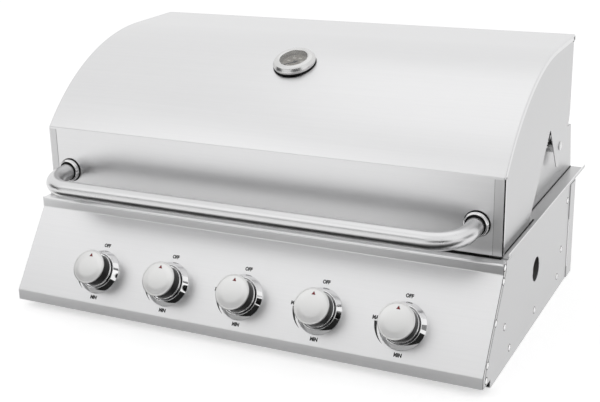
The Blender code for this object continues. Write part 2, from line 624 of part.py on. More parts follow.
def firebox():
    """The fire tub: four walls, shelves for the grates and flame tamers, and runners for the tray."""
    half = FIREBOX_HALF_WIDTH
    front, back = at(FIREBOX_FRONT_DEPTH), at(FIREBOX_BACK_DEPTH)
    box = placed("firebox", block(-half, half, front, back, FIREBOX_FOOT, STRIP_TOP), DARK_STEEL)
    floor = FIREBOX_FOOT + SHEET
    inner = half - SHEET
    cavity = block(-inner, inner, front + SHEET, back - SHEET, floor, STRIP_TOP + OVERRUN)
    combine(box, "DIFFERENCE", "firebox_cavity", cavity)
    between = inner - RUNNER_WIDTH
    mouth = block(-between, between, front - OVERRUN, back + OVERRUN, FIREBOX_FOOT - OVERRUN, floor + GAP)
    combine(box, "DIFFERENCE", "firebox_floor_opening", mouth)
    under = block(-inner, inner, front - OVERRUN, back + OVERRUN, floor, FIREBOX_WALL_FOOT)
    combine(box, "DIFFERENCE", "firebox_wall_cut", under)
    for label, height in (("tamer", TAMER_SHELF_HEIGHT), ("grate", GRATE_SHELF_HEIGHT)):
        for end, low, high in (
            ("front", front + SHEET / 2, front + SHEET + SHELF_WIDTH),
            ("back", back - SHEET - SHELF_WIDTH, back - SHEET / 2),
        ):
            shelf = block(-inner - SHEET / 2, inner + SHEET / 2, low, high, height - SHEET, height)
            combine(box, "UNION", f"{label}_shelf_{end}", shelf)
    holes = []
    for x in knob_places():
        holes.append(rod((x, front - OVERRUN, BURNER_HEIGHT), (0, 1, 0), BURNER_RADIUS + GAP, 2 * OVERRUN, 20))
    combine(box, "DIFFERENCE", "burner_holes", joined(*holes))
    add_manifold_brackets(box)
    return box


def manifold_line():
    """The middle of the gas pipe behind the panel, as a depth coordinate and a height."""
    seat = VALVE_WIDTH / 2 + GAP + MANIFOLD_RADIUS
    along = on_slope(0, KNOB_UP_SLOPE - seat, -MANIFOLD_SEAT)
    return along.y, along.z


def add_manifold_brackets(box):
    """Two upright brackets on the firebox's front wall that the gas pipe passes through."""
    places = knob_places()
    middle, height = manifold_line()
    ring = MANIFOLD_RADIUS + BRACKET_RING
    wall = at(FIREBOX_FRONT_DEPTH + SHEET / 2)
    outline = [(wall, BRACKET_ROOT_HEIGHT), (wall, FIREBOX_WALL_FOOT)]
    for step in range(BRACKET_STEPS + 1):
        angle = -math.pi / 2 - math.pi * step / BRACKET_STEPS
        outline.append((middle + ring * math.cos(angle), height + ring * math.sin(angle)))
    rings = []
    for label, first in (("left", 0), ("right", KNOB_COUNT - 2)):
        low = (places[first] + places[first + 1]) / 2 - BRACKET_THICKNESS / 2
        combine(box, "UNION", f"bracket_{label}", extrusion(outline, "X", low, low + BRACKET_THICKNESS))
        start = (low - OVERRUN, middle, height)
        rings.append(rod(start, (1, 0, 0), MANIFOLD_RADIUS + GAP, BRACKET_THICKNESS + 2 * OVERRUN, 24))
    combine(box, "DIFFERENCE", "bracket_holes", joined(*rings))


def grease_tray():
    """The shallow tray that slides out under the control panel, with a turned-up front to pull."""
    runner_top = FIREBOX_FOOT + SHEET
    rim_under = runner_top + GAP
    rim_top = rim_under + SHEET
    body = FIREBOX_HALF_WIDTH - SHEET - RUNNER_WIDTH - TRAY_SIDE_CLEARANCE
    rim = body + TRAY_SIDE_CLEARANCE + TRAY_RIM_WIDTH
    front, back = at(TRAY_FRONT_DEPTH), at(FIREBOX_BACK_DEPTH - SHEET)
    tray = placed("grease_tray", block(-body, body, front, back, TRAY_FLOOR, rim_top), DARK_STEEL)
    hollow = block(-body + SHEET, body - SHEET, front + SHEET, back - SHEET, TRAY_FLOOR + SHEET, rim_top + OVERRUN)
    combine(tray, "DIFFERENCE", "tray_hollow", hollow)
    rim_front = at(FIREBOX_FRONT_DEPTH)
    for label, side in (("left", -1), ("right", 1)):
        low, high = sorted((side * (body - SHEET / 2), side * rim))
        combine(tray, "UNION", f"tray_rim_{label}", block(low, high, rim_front, back, rim_under, rim_top))
    pull = block(-body / 4, body / 4, front - TRAY_LIP_HEIGHT, front + SHEET / 2, rim_top - SHEET, rim_top)
    combine(tray, "UNION", "tray_pull", pull)
    return tray


def burner(name, x):
    """A tube burner: an open mouth at the valve's nozzle and a closed end held by a spigot."""
    mouth = BURNER_MOUTH_DEPTH
    end = BURNER_END_DEPTH
    seat = FIREBOX_BACK_DEPTH - SHEET - GAP
    profile = [(0, BURNER_MOUTH_LENGTH), (BURNER_MOUTH_BORE, BURNER_MOUTH_LENGTH), (BURNER_MOUTH_BORE, 0)]
    profile += [(BURNER_RADIUS, 0), (BURNER_RADIUS, end - mouth), (BURNER_SPIGOT_RADIUS, end - mouth + BURNER_TAPER)]
    profile += [(BURNER_SPIGOT_RADIUS, seat - mouth), (0, seat - mouth)]
    shape = facing(turned(profile, 16), (x, at(mouth), BURNER_HEIGHT), (0, 1, 0))
    return placed(name, shape, DARK_STEEL, smooth=True)


def flame_tamer(name, x):
    """A bent roof of sheet over one burner, resting on the lower shelves."""
    foot = TAMER_SHELF_HEIGHT + GAP
    peak = foot + TAMER_RISE
    right = [(x + TAMER_HALF_WIDTH, foot), (x + TAMER_PEAK_HALF_WIDTH, peak)]
    left = [(x - TAMER_PEAK_HALF_WIDTH, peak), (x - TAMER_HALF_WIDTH, foot)]
    thickness = SHEET * math.hypot(TAMER_HALF_WIDTH - TAMER_PEAK_HALF_WIDTH, TAMER_RISE) / TAMER_RISE
    inner = [(x - TAMER_HALF_WIDTH + thickness, foot), (x - TAMER_PEAK_HALF_WIDTH, peak - SHEET)]
    inner += [(x + TAMER_PEAK_HALF_WIDTH, peak - SHEET), (x + TAMER_HALF_WIDTH - thickness, foot)]
    front = at(FIREBOX_FRONT_DEPTH + SHEET + GAP)
    back = at(FIREBOX_BACK_DEPTH - SHEET - GAP)
    return placed(name, extrusion(right + left + inner, "Y", front, back), DARK_STEEL)


def cooking_grate(name, index):
    """A grate of round-edged bars between two end bars."""
    inner = FIREBOX_HALF_WIDTH - SHEET - GRATE_SPACE
    width = 2 * inner / GRATE_COUNT
    low = -inner + width * index + GRATE_SPACE / 2
    high = low + width - GRATE_SPACE
    front = at(FIREBOX_FRONT_DEPTH + SHEET + GRATE_SPACE)
    back = at(FIREBOX_BACK_DEPTH - SHEET - GRATE_SPACE)
    middle = (front + back) / 2
    half_bar = GRATE_END_BAR / 2
    x_edges = bars_between(low, high, GRATE_BAR, GRATE_BARS)
    y_edges = [front, front + GRATE_END_BAR, middle - half_bar, middle + half_bar, back - GRATE_END_BAR, back]
    foot = GRATE_SHELF_HEIGHT + GAP
    shape = lattice(x_edges, y_edges, lambda i, j: i % 2 == 0 or j % 2 == 0, foot, foot + GRATE_THICKNESS)
    return placed(name, shape, DARK_STEEL)


def warming_rack():
    """A light rack whose ends rest on the flanges of the hinge plates."""
    half = PLATE_HALF_SPACING - SHEET - GAP
    x_edges = bars_between(-half, half, RACK_BAR, RACK_CROSS_BARS)
    y_edges = bars_between(at(RACK_FRONT_DEPTH), at(RACK_BACK_DEPTH), RACK_BAR, RACK_BARS)
    foot = RACK_SHELF_HEIGHT + GAP
    shape = lattice(x_edges, y_edges, lambda i, j: i % 2 == 0 or j % 2 == 0, foot, foot + RACK_THICKNESS)
    return placed("warming_rack", shape, STAINLESS)


def valve(name, x):
    """A gas valve: a block on the manifold, bored for the stem, with a nozzle that points into the burner."""
    root = on_slope(x, KNOB_UP_SLOPE, -VALVE_TOP - VALVE_LENGTH)
    half = VALVE_WIDTH / 2
    shape = extrusion([(-half, -half), (half, -half), (half, half), (-half, half)], "Z", 0, VALVE_LENGTH)
    body = placed(name, facing(shape, root, SLOPE_OUT), BRASS)
    reach = BURNER_MOUTH_DEPTH + NOZZLE_ENTRY - NOZZLE_ROOT_DEPTH
    nozzle = rod((x, at(NOZZLE_ROOT_DEPTH), BURNER_HEIGHT), (0, 1, 0), NOZZLE_RADIUS, reach, 12)
    combine(body, "UNION", f"{name}_nozzle", nozzle)
    floor = STEM_INNER_END + KNOB_PUSH + VALVE_BORE_MARGIN
    bore = rod(on_slope(x, KNOB_UP_SLOPE, -floor), SLOPE_OUT, STEM_RADIUS + STEM_CLEARANCE, floor, 16)
    combine(body, "DIFFERENCE", f"{name}_bore", bore)
    return body


def gas_manifold():
    """The pipe that feeds the valves and runs back, on the right, to the hole for the gas supply."""
    front, low = manifold_line()
    side = MANIFOLD_SIDE_OFFSET
    end = Vector((side, at(INLET_DEPTH), INLET_HEIGHT - INLET_DROP))
    rise = Vector((side, front, low))
    toward = (end - rise).normalized()
    left_end = knob_places()[0] - MANIFOLD_END_MARGIN
    points = [Vector((left_end, front, low)), Vector((side - MANIFOLD_BEND_RADIUS, front, low))]
    start = points[-1]
    finish_bend = rise + toward * MANIFOLD_BEND_RADIUS
    for step in range(1, MANIFOLD_BEND_STEPS + 1):
        share = step / MANIFOLD_BEND_STEPS
        points.append(start.lerp(rise, share).lerp(rise.lerp(finish_bend, share), share))
    points.append(end)
    return tube("gas_manifold", points, MANIFOLD_RADIUS, MANIFOLD_SIDES_SETTING, STAINLESS)


def tube(name, points, radius, sides_setting, look):
    """A round tube along a line of points, with closed ends."""
    curve = bpy.data.curves.new(name, "CURVE")
    curve.dimensions = "3D"
    curve.bevel_depth = radius
    curve.bevel_resolution = sides_setting
    curve.use_fill_caps = True
    curve.render_resolution_u = 0
    line = curve.splines.new("POLY")
    line.points.add(len(points) - 1)
    for spot, point in zip(line.points, points):
        spot.co = (*point, 1)
    line.use_smooth = True
    made = bpy.data.objects.new(name, curve)
    bpy.context.scene.collection.objects.link(made)
    curve.materials.append(finish(name, *look))
    return made


def knob_bezel(name, x):
    """The flared ring on the panel round a knob."""
    profile = [(BEZEL_RADIUS, GAP), (BEZEL_RADIUS, BEZEL_FOOT_EDGE), (BEZEL_CROWN_RADIUS, BEZEL_HEIGHT)]
    profile += [(BEZEL_BORE_RADIUS, BEZEL_HEIGHT), (BEZEL_BORE_RADIUS, GAP)]
    shape = facing(turned(profile, 32, closed=True), on_slope(x, KNOB_UP_SLOPE, 0), SLOPE_OUT)
    return placed(name, shape, CHROME, smooth=True)


def valve_stem(name, axis):
    """The round stem between a valve and its knob, built along the knob's axis."""
    tip = KNOB_FOOT + KNOB_BORE_DEPTH - GAP
    profile = [(0, -STEM_INNER_END), (STEM_RADIUS, -STEM_INNER_END), (STEM_RADIUS, tip), (0, tip)]
    stem = placed(name, turned(profile, 16), BRASS, smooth=True)
    stem.parent = axis
    return stem


def knob(name, axis):
    """A hollow knob: grip, collar and domed cap, with a boss inside that is bored for the stem."""
    bore = STEM_RADIUS + STEM_CLEARANCE
    collar_top = KNOB_COLLAR_HEIGHT + KNOB_COLLAR_THICKNESS
    profile = [(0, KNOB_FOOT + KNOB_BORE_DEPTH), (bore, KNOB_FOOT + KNOB_BORE_DEPTH), (bore, KNOB_FOOT)]
    ceiling = KNOB_CAP_RIM - KNOB_WALL
    inner = KNOB_GRIP_RADIUS - KNOB_WALL
    profile += [(KNOB_BOSS_RADIUS, KNOB_FOOT), (KNOB_BOSS_RADIUS, ceiling), (inner, ceiling), (inner, KNOB_FOOT)]
    profile += [(KNOB_GRIP_RADIUS, KNOB_FOOT), (KNOB_GRIP_RADIUS, KNOB_COLLAR_HEIGHT)]
    profile += [(KNOB_COLLAR_RADIUS, KNOB_COLLAR_HEIGHT), (KNOB_COLLAR_RADIUS, collar_top)]
    profile += [(KNOB_GRIP_RADIUS, collar_top), (KNOB_GRIP_RADIUS, KNOB_CAP_FOOT), (KNOB_CAP_RADIUS, KNOB_CAP_FOOT)]
    for step in range(KNOB_DOME_STEPS + 1):
        angle = math.pi / 2 * step / KNOB_DOME_STEPS
        height = KNOB_CAP_RIM + (KNOB_CAP_HEIGHT - KNOB_CAP_RIM) * math.sin(angle)
        profile.append((KNOB_CAP_RADIUS * math.cos(angle), height))
    made = placed(name, turned(profile, 28), CHROME, smooth=True)
    made.parent = axis
    return made


def hood_skin():
    """The hood's front, curve and top in one sheet, folded over the edge of each end."""
    half = HOOD_HALF_WIDTH
    back = HOOD_BACK_DEPTH
    skin = placed("hood_skin", extrusion(hood_outline(0, back, HOOD_FOOT), "X", -half, half), STAINLESS)
    inside = hood_outline(SHEET, back - SHEET, HOOD_FOOT - OVERRUN)
    inside += [(at(back - SHEET), HOOD_BACK_HEIGHT - HOOD_BACK_LIP), (at(back + OVERRUN), HOOD_BACK_HEIGHT - HOOD_BACK_LIP)]
    inside.append((at(back + OVERRUN), HOOD_FOOT - OVERRUN))
    combine(skin, "DIFFERENCE", "hood_inside", extrusion(inside, "X", -half + SHEET, half - SHEET))
    opening = hood_outline(HOOD_RIM_BAND, back - HOOD_RIM_BAND, HOOD_FOOT - OVERRUN)
    lower = HOOD_BACK_HEIGHT - HOOD_BACK_LIP
    opening += [(at(back - HOOD_RIM_BAND), lower), (at(back + OVERRUN), lower), (at(back + OVERRUN), HOOD_FOOT - OVERRUN)]
    combine(skin, "DIFFERENCE", "hood_end_opening", extrusion(opening, "X", -half - OVERRUN, half + OVERRUN))
    place, out = thermometer_place()
    hole = rod(place - out * OVERRUN, out, PROBE_RADIUS + GAP, 2 * OVERRUN, 12)
    combine(skin, "DIFFERENCE", "hood_probe_hole", hole)
    return skin


def hood_end(name, side):
    """A flat end of the hood, with the notch and the tongue that turns on the hinge pin."""
    outer = HOOD_HALF_WIDTH - SHEET - GAP
    low, high = sorted((side * outer, side * (outer - SHEET)))
    edge = hood_outline(SHEET + GAP, HOOD_BACK_DEPTH - SHEET - GAP, END_FOOT)
    back = at(HOOD_BACK_DEPTH - END_BACK_INSET)
    points = edge + [(back, HOOD_BACK_HEIGHT - HOOD_BACK_LIP), (back, TONGUE_HEEL_HEIGHT + TONGUE_TIP_RADIUS)]
    points.append((at(TONGUE_HEEL_DEPTH), TONGUE_HEEL_HEIGHT))
    tip = Vector((TONGUE_TIP_DEPTH, TONGUE_TIP_HEIGHT))
    heel = Vector((TONGUE_HEEL_DEPTH, TONGUE_HEEL_HEIGHT))
    apex = Vector((NOTCH_APEX_DEPTH + NOTCH_APEX_WIDTH, NOTCH_APEX_HEIGHT))
    start = tangent_angle(tip, heel, TONGUE_TIP_RADIUS, -1)
    end = tangent_angle(tip, apex, TONGUE_TIP_RADIUS, 1) - math.tau
    for step in range(EAR_STEPS + 1):
        angle = start + (end - start) * step / EAR_STEPS
        spot = tip + TONGUE_TIP_RADIUS * Vector((math.cos(angle), math.sin(angle)))
        points.append((at(spot.x), spot.y))
    points += [(at(apex.x), apex.y), (at(NOTCH_APEX_DEPTH), NOTCH_APEX_HEIGHT), (at(NOTCH_FOOT_DEPTH), END_FOOT)]
    made = placed(name, extrusion(points, "X", low, high), STAINLESS)
    begin = (side * (outer + OVERRUN), at(PIVOT_DEPTH), PIVOT_HEIGHT)
    hole = rod(begin, (-side, 0, 0), PIN_RADIUS + PIN_CLEARANCE, 2 * OVERRUN)
    combine(made, "DIFFERENCE", f"{name}_pin_hole", hole)
    return made


def tangent_angle(centre, point, radius, side):
    """The angle on a circle where a line from an outside point touches it, on one side or the other."""
    away = point - centre
    return math.atan2(away.y, away.x) + side * math.acos(radius / away.length)


def hood_liner():
    """The inner heat sheet, which follows the hood's curve between its ends."""
    half = HOOD_HALF_WIDTH - 2 * SHEET - 2 * GAP
    centre = (HOOD_ARC_DEPTH, HOOD_ARC_HEIGHT)
    radius = HOOD_ARC_RADIUS - LINER_SPACE
    start = math.pi - math.asin((LINER_FRONT_HEIGHT - centre[1]) / radius)
    end = math.acos((LINER_BACK_DEPTH - centre[0]) / radius)
    outer = []
    inner = []
    for step in range(LINER_STEPS + 1):
        angle = start + (end - start) * step / LINER_STEPS
        for row, reach in ((outer, radius), (inner, radius - SHEET)):
            row.append((at(centre[0] + reach * math.cos(angle)), centre[1] + reach * math.sin(angle)))
    liner = placed("hood_liner", extrusion(outer + inner[::-1], "X", -half, half), DARK_STEEL)
    place, out = thermometer_place()
    hole = rod(place - out * (LINER_SPACE + OVERRUN), out, PROBE_RADIUS + GAP, 2 * OVERRUN, 12)
    combine(liner, "DIFFERENCE", "liner_probe_hole", hole)
    return liner


def handle():
    """The round tube handle: two drooping arms, two bends and the bar between them."""
    droop = math.atan2(HANDLE_DROP, HANDLE_STAND_OFF)
    out = Vector((0, -math.cos(droop), -math.sin(droop)))
    arm = math.hypot(HANDLE_DROP, HANDLE_STAND_OFF)
    seat = (HANDLE_RADIUS * math.sin(droop) + GAP) / math.cos(droop)
    root = Vector((0, at(HOOD_FRONT_DEPTH), HANDLE_ROOT_HEIGHT))
    points = []
    for side in (-1, 1):
        across = Vector((side, 0, 0))
        base = root + across * HANDLE_HALF_WIDTH
        bend = base + out * (arm - HANDLE_BEND_RADIUS) - across * HANDLE_BEND_RADIUS
        run = [base + out * seat]
        for step in range(HANDLE_BEND_STEPS + 1):
            angle = math.pi / 2 * step / HANDLE_BEND_STEPS
            run.append(bend + HANDLE_BEND_RADIUS * (across * math.cos(angle) + out * math.sin(angle)))
        points += run if side < 0 else run[::-1]
    return tube("handle", points, HANDLE_RADIUS, HANDLE_SIDES_SETTING, STAINLESS)


def handle_base(name, side):
    """The ring on the hood that a handle arm stands in."""
    profile = [(BASE_BORE_RADIUS, GAP), (BASE_RADIUS, GAP), (BASE_RADIUS, BASE_HEIGHT - BASE_CHAMFER)]
    profile += [(BASE_RADIUS - BASE_CHAMFER, BASE_HEIGHT), (BASE_BORE_RADIUS, BASE_HEIGHT)]
    place = (side * HANDLE_HALF_WIDTH, at(HOOD_FRONT_DEPTH), HANDLE_ROOT_HEIGHT)
    return placed(name, facing(turned(profile, 28, closed=True), place, (0, -1, 0)), CHROME, smooth=True)


def thermometer_place():
    """Where the thermometer stands on the hood's curve, and which way it faces."""
    angle = math.radians(THERMOMETER_ANGLE_DEG)
    out = Vector((0, math.cos(angle), math.sin(angle)))
    centre = Vector((0, at(HOOD_ARC_DEPTH), HOOD_ARC_HEIGHT))
    return centre + out * HOOD_ARC_RADIUS, out


def thermometer():
    """The case with its probe, the dial, the needle and the glass, stacked along the hood's normal."""
    place, out = thermometer_place()
    seat = GAP
    floor = DIAL_HEIGHT
    top = BEZEL_RING_HEIGHT
    probe = [(0, -PROBE_LENGTH), (PROBE_RADIUS, -PROBE_LENGTH), (PROBE_RADIUS, seat)]
    case = probe + [(BEZEL_RING_RADIUS, seat), (BEZEL_RING_RADIUS, BEZEL_RING_SHOULDER), (BEZEL_RING_CROWN_RADIUS, top)]
    rebate = WINDOW_RADIUS + SHEET
    glass_foot = top - GLASS_INSET - GLASS_THICKNESS
    case += [(rebate, top), (rebate, glass_foot - GAP), (WINDOW_RADIUS, glass_foot - GAP), (WINDOW_RADIUS, floor)]
    case.append((0, floor))
    pieces = [placed("thermometer_case", facing(turned(case, 32), place, out), CHROME, smooth=True)]
    dial_foot = floor + GAP
    dial = WINDOW_RADIUS - GAP
    shape = turned([(0, dial_foot), (dial, dial_foot), (dial, dial_foot + DIAL_THICKNESS), (0, dial_foot + DIAL_THICKNESS)], 28)
    pieces.append(placed("thermometer_dial", facing(shape, place, out), DIAL_GREY, smooth=True))
    needle_foot = dial_foot + DIAL_THICKNESS + GAP
    tail, half, length = NEEDLE_TAIL, NEEDLE_WIDTH / 2, NEEDLE_LENGTH
    outline = [(-half, -tail), (half, -tail), (half, -NEEDLE_HUB_RADIUS), (NEEDLE_HUB_RADIUS, 0), (half, NEEDLE_HUB_RADIUS)]
    outline += [(half / 2, length), (-half / 2, length), (-half, NEEDLE_HUB_RADIUS), (-NEEDLE_HUB_RADIUS, 0)]
    outline.append((-half, -NEEDLE_HUB_RADIUS))
    shape = extrusion(outline, "Z", needle_foot, needle_foot + NEEDLE_THICKNESS)
    turn = Matrix.Rotation(math.radians(NEEDLE_REST_DEG), 3, "Z")
    bmesh.ops.rotate(shape, cent=(0, 0, 0), matrix=turn, verts=shape.verts)
    axis = carrier("thermometer_axis", place, out)
    needle = placed("thermometer_needle", shape, RED)
    needle.parent = axis
    lens = rebate - GAP
    shape = turned([(0, glass_foot), (lens, glass_foot), (lens, glass_foot + GLASS_THICKNESS), (0, glass_foot + GLASS_THICKNESS)], 28)
    pieces.append(placed("thermometer_glass", facing(shape, place, out), GLASS, smooth=True))
    return pieces, axis


def build():
    """Clears the scene and makes every piece."""
    for old in list(bpy.data.objects):
        bpy.data.objects.remove(old, do_unlink=True)
    control_panel()
    rear_panel()
    rear_ledge()
    rear_baffle()
    firebox()
    warming_rack()
    gas_manifold()
    hood_axis = carrier("hood_pivot", (0, at(PIVOT_DEPTH), PIVOT_HEIGHT), (1, 0, 0))
    hood = [hood_skin(), hood_liner(), handle()]
    for side, label in ((-1, "left"), (1, "right")):
        side_panel(f"side_panel_{label}", side)
        side_ledge(f"side_ledge_{label}", side)
        hinge_plate(f"hinge_plate_{label}", side)
        hinge_pin(f"hinge_pin_{label}", side)
        hood.append(hood_end(f"hood_end_{label}", side))
        hood.append(handle_base(f"handle_base_{label}", side))
    fittings, needle_axis = thermometer()
    hang_on(hood_axis, *hood, *fittings, needle_axis)
    tray_axis = carrier("tray_slide", (0, at(TRAY_FRONT_DEPTH), TRAY_FLOOR), (0, -1, 0))
    hang_on(tray_axis, grease_tray())
    for index in range(GRATE_COUNT):
        cooking_grate(f"cooking_grate_{index + 1}", index)
    for number, x in enumerate(knob_places(), 1):
        burner(f"burner_{number}", x)
        flame_tamer(f"flame_tamer_{number}", x)
        valve(f"valve_{number}", x)
        knob_bezel(f"knob_bezel_{number}", x)
        axis = carrier(f"knob_axis_{number}", on_slope(x, KNOB_UP_SLOPE, 0), SLOPE_OUT)
        valve_stem(f"valve_stem_{number}", axis)
        knob(f"knob_{number}", axis)


build()
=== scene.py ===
"""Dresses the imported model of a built-in gas grill and sets up its studio.

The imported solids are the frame. Sheet that bends, round fittings, knobs, dial, printed marks and screws
are made here as surfaces worked out with numpy, in metres, in the frame's own coordinates: +X to the right
of someone in front, +Y towards the back, +Z up. The other solids keep their shape and get a finish.
"""

import math

import bmesh
import bpy
import numpy as np
from mathutils import Matrix, Vector
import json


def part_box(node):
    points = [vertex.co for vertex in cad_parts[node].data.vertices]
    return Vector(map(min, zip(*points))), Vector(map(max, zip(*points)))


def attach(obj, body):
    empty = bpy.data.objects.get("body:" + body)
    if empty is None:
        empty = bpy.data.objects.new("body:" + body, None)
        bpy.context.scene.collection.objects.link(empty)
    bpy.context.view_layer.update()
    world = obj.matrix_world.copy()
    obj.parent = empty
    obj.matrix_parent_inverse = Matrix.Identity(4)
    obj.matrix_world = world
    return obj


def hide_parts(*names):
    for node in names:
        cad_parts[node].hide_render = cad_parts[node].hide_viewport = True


bl_info = {
    "name": "Built-in gas grill",
    "version": (1, 0, 0),
    "blender": (4, 5, 0),
    "location": "View3D > Sidebar > Grill",
    "description": "Makes the visible pieces, the finishes and the studio of a built-in gas grill",
    "category": "Object",
}

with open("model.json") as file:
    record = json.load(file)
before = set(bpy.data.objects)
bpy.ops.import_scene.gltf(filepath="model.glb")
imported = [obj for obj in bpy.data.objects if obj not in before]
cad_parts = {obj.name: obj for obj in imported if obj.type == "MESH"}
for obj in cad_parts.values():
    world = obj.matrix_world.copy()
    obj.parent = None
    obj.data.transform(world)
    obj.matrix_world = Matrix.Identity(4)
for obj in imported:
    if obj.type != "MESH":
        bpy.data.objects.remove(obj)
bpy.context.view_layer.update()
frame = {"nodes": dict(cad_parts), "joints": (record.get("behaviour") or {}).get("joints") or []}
JOINTS = {joint["name"]: joint for joint in frame["joints"]}
KNOB_NAMES = sorted(name for name in frame["nodes"] if name.startswith("knob_") and name[5:].isdigit())


def half_width(node):
    """Half of a node's reach along X."""
    low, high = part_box(node)
    return (high.x - low.x) / 2


SHEET = 0.0012
TAU = 2 * math.pi
X_AXIS = Vector((1, 0, 0))
SIDES = ((-1, "left"), (1, "right"))

# Hood, in the side view: heights, and depths behind the lip of the control panel
LIP_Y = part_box("control_panel")[0].y
HOOD_LOW, HOOD_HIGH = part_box("hood_skin")
HOOD_ARC_Y = LIP_Y + 0.4064
HOOD_ARC_Z = 0.0493
HOOD_ARC_RADIUS = 0.388
HOOD_CREST_Y = LIP_Y + 0.3956
HOOD_INSIDE = (0, HOOD_ARC_Y, 0.2)
LINER_SPACE = 0.020
HOOD_BACK_LIP = 0.012
HOOD_RIM_BAND = 0.009
CORNER_STRIP = 0.0150
HANDLE_TUBE = 0.014
HANDLE_BEND = 0.052

# Control panel
SLOPE_RUN = 0.087
SLOPE_RISE = 0.125
LIP_TOP = 0.0344
STRIP_FOOT = LIP_TOP + SLOPE_RISE
SLOPE_UP = Vector((0, SLOPE_RUN, SLOPE_RISE)).normalized()
SLOPE_OUT = Vector((0, -SLOPE_RISE, SLOPE_RUN)).normalized()
STEM_HOLE_RADIUS = 0.009
BEZEL_RADIUS = half_width("knob_bezel_1") - 0.0013
WEDGE_RADIUS = 0.0412
WEDGE_WIDTH = 0.0048

# Lettering: height of a capital as a share of the font's size, and how narrow the letters are
CAPITAL_SHARE = 0.70
LETTER_SQUEEZE = 0.88

# Thermometer's dial
DIAL_FACE = 0.0031
DIAL_MARKS = 26
DIAL_SWEEP = 250

# Finishes: how densely the scratches of a brushed sheet lie, and the burners' flame ports, painted as dark dots of
# shade
SCRATCHES_ACROSS = 900.0
SCRATCHES_ALONG = 9.0
HALF_PORT_PITCH = 0.004
PORT_RADIUS = 0.0012

# Knob grips
GRIP_FLUTES = 60
FLUTE_DEPTH = 0.00022

# Camera and light
CAMERA_LENS = 66.1
CAMERA_PLACE = (0.8108, -1.6650, 0.7660)
CAMERA_RIGHT = (0.8983989, 0.43870288, -0.02047446)
CAMERA_UP = (-0.11987457, 0.2898014, 0.94955002)
CAMERA_BACK = (0.42250386, -0.85062032, 0.31294658)
FLOOR_GLOW = 0.52
ROOM_LIGHT = 0.62


def length(name, description, default, least):
    """A length for the sidebar."""
    return bpy.props.FloatProperty(name=name, description=description, default=default, min=least, unit="LENGTH")


def colour(name, description, *default):
    """A colour for the sidebar."""
    return bpy.props.FloatVectorProperty(
        name=name, description=description, default=default, subtype="COLOR", min=0, max=1
    )


class GrillSizes(bpy.types.PropertyGroup):
    """Sizes of the pieces made here."""

    sheet_bend: length("Sheet bend", "Outer radius of the bends in the sheet", 0.0028, 0.0014)
    handle_radius: length("Handle radius", "Radius of the handle's tube", HANDLE_TUBE, 0.005)
    bezel_radius: length("Knob bezel radius", "Radius of the ring round a knob", BEZEL_RADIUS, 0.02)
    knob_radius: length("Knob radius", "Radius of a knob's cap", half_width("knob_1"), 0.01)
    letter_height: length("Letter height", "Height of the words on the panel", 0.0056, 0.001)
    screw_radius: length("Screw radius", "Radius of the side panels' screw heads", 0.0050, 0.001)


class GrillColours(bpy.types.PropertyGroup):
    """Colours of the finishes."""

    steel: colour("Steel", "Colour of the outer sheet", 0.72, 0.72, 0.725)
    dull_steel: colour("Dull steel", "Colour of the inner sheet", 0.36, 0.355, 0.35)
    print_ink: colour("Print", "Colour of the printed words", 0.008, 0.008, 0.009)
    pointer: colour("Pointer", "Colour of the mark on a knob", 0.20, 0.008, 0.012)
    dial: colour("Dial", "Colour of the thermometer's dial", 0.34, 0.30, 0.26)
    floor: colour("Floor", "Colour of the studio floor", 0.86, 0.86, 0.86)


# Shapes


def filleted(corners, radii, steps=7):
    """A line with round corners. Each corner becomes the arc that touches both of its sides: its centre lies on the
    bisector at radius / sin(half angle), and the arc's points are spherical blends of its two end radii. A point a
    little before and after each arc keeps the flat sides flat when they are shaded."""
    corners = [np.asarray(corner, float) for corner in corners]
    line = [corners[0]]
    for before, corner, after, radius in zip(corners, corners[1:], corners[2:], radii):
        one = (before - corner) / np.linalg.norm(before - corner)
        two = (after - corner) / np.linalg.norm(after - corner)
        half = math.acos(np.clip(one @ two, -1, 1)) / 2
        if radius <= 0 or half > 1.55:
            line.append(corner)
            continue
        centre = corner + (one + two) / np.linalg.norm(one + two) * radius / math.sin(half)
        start = corner + one * radius / math.tan(half) - centre
        end = corner + two * radius / math.tan(half) - centre
        span = math.pi - 2 * half
        share = np.linspace(0, 1, steps + 1)[:, None]
        arc = centre + (np.sin((1 - share) * span) * start + np.sin(share * span) * end) / math.sin(span)
        hold = min(0.3 * radius, 0.0006)
        line.extend([arc[0] + one * hold, *arc, arc[-1] + two * hold])
    line.append(corners[-1])
    return np.array(line)


def grid_surface(points, close_columns=False):
    """Vertices and quads of a grid of points, numbered row by row. Closed columns join the last to the first."""
    rows, columns = points.shape[:2]
    i, j = np.meshgrid(np.arange(rows - 1), np.arange(columns if close_columns else columns - 1), indexing="ij")
    across = (j + 1) % columns
    quads = np.stack([i * columns + j, i * columns + across, (i + 1) * columns + across, (i + 1) * columns + j], -1)
    return points.reshape(-1, 3), quads.reshape(-1, 4)


def capped(points):
    """A grid of points with closed columns, whose first and last rows are closed by a face each."""
    vertices, quads = grid_surface(points, close_columns=True)
    count, last = points.shape[1], len(vertices)
    return vertices, [*quads, np.arange(count)[::-1], np.arange(last - count, last)]


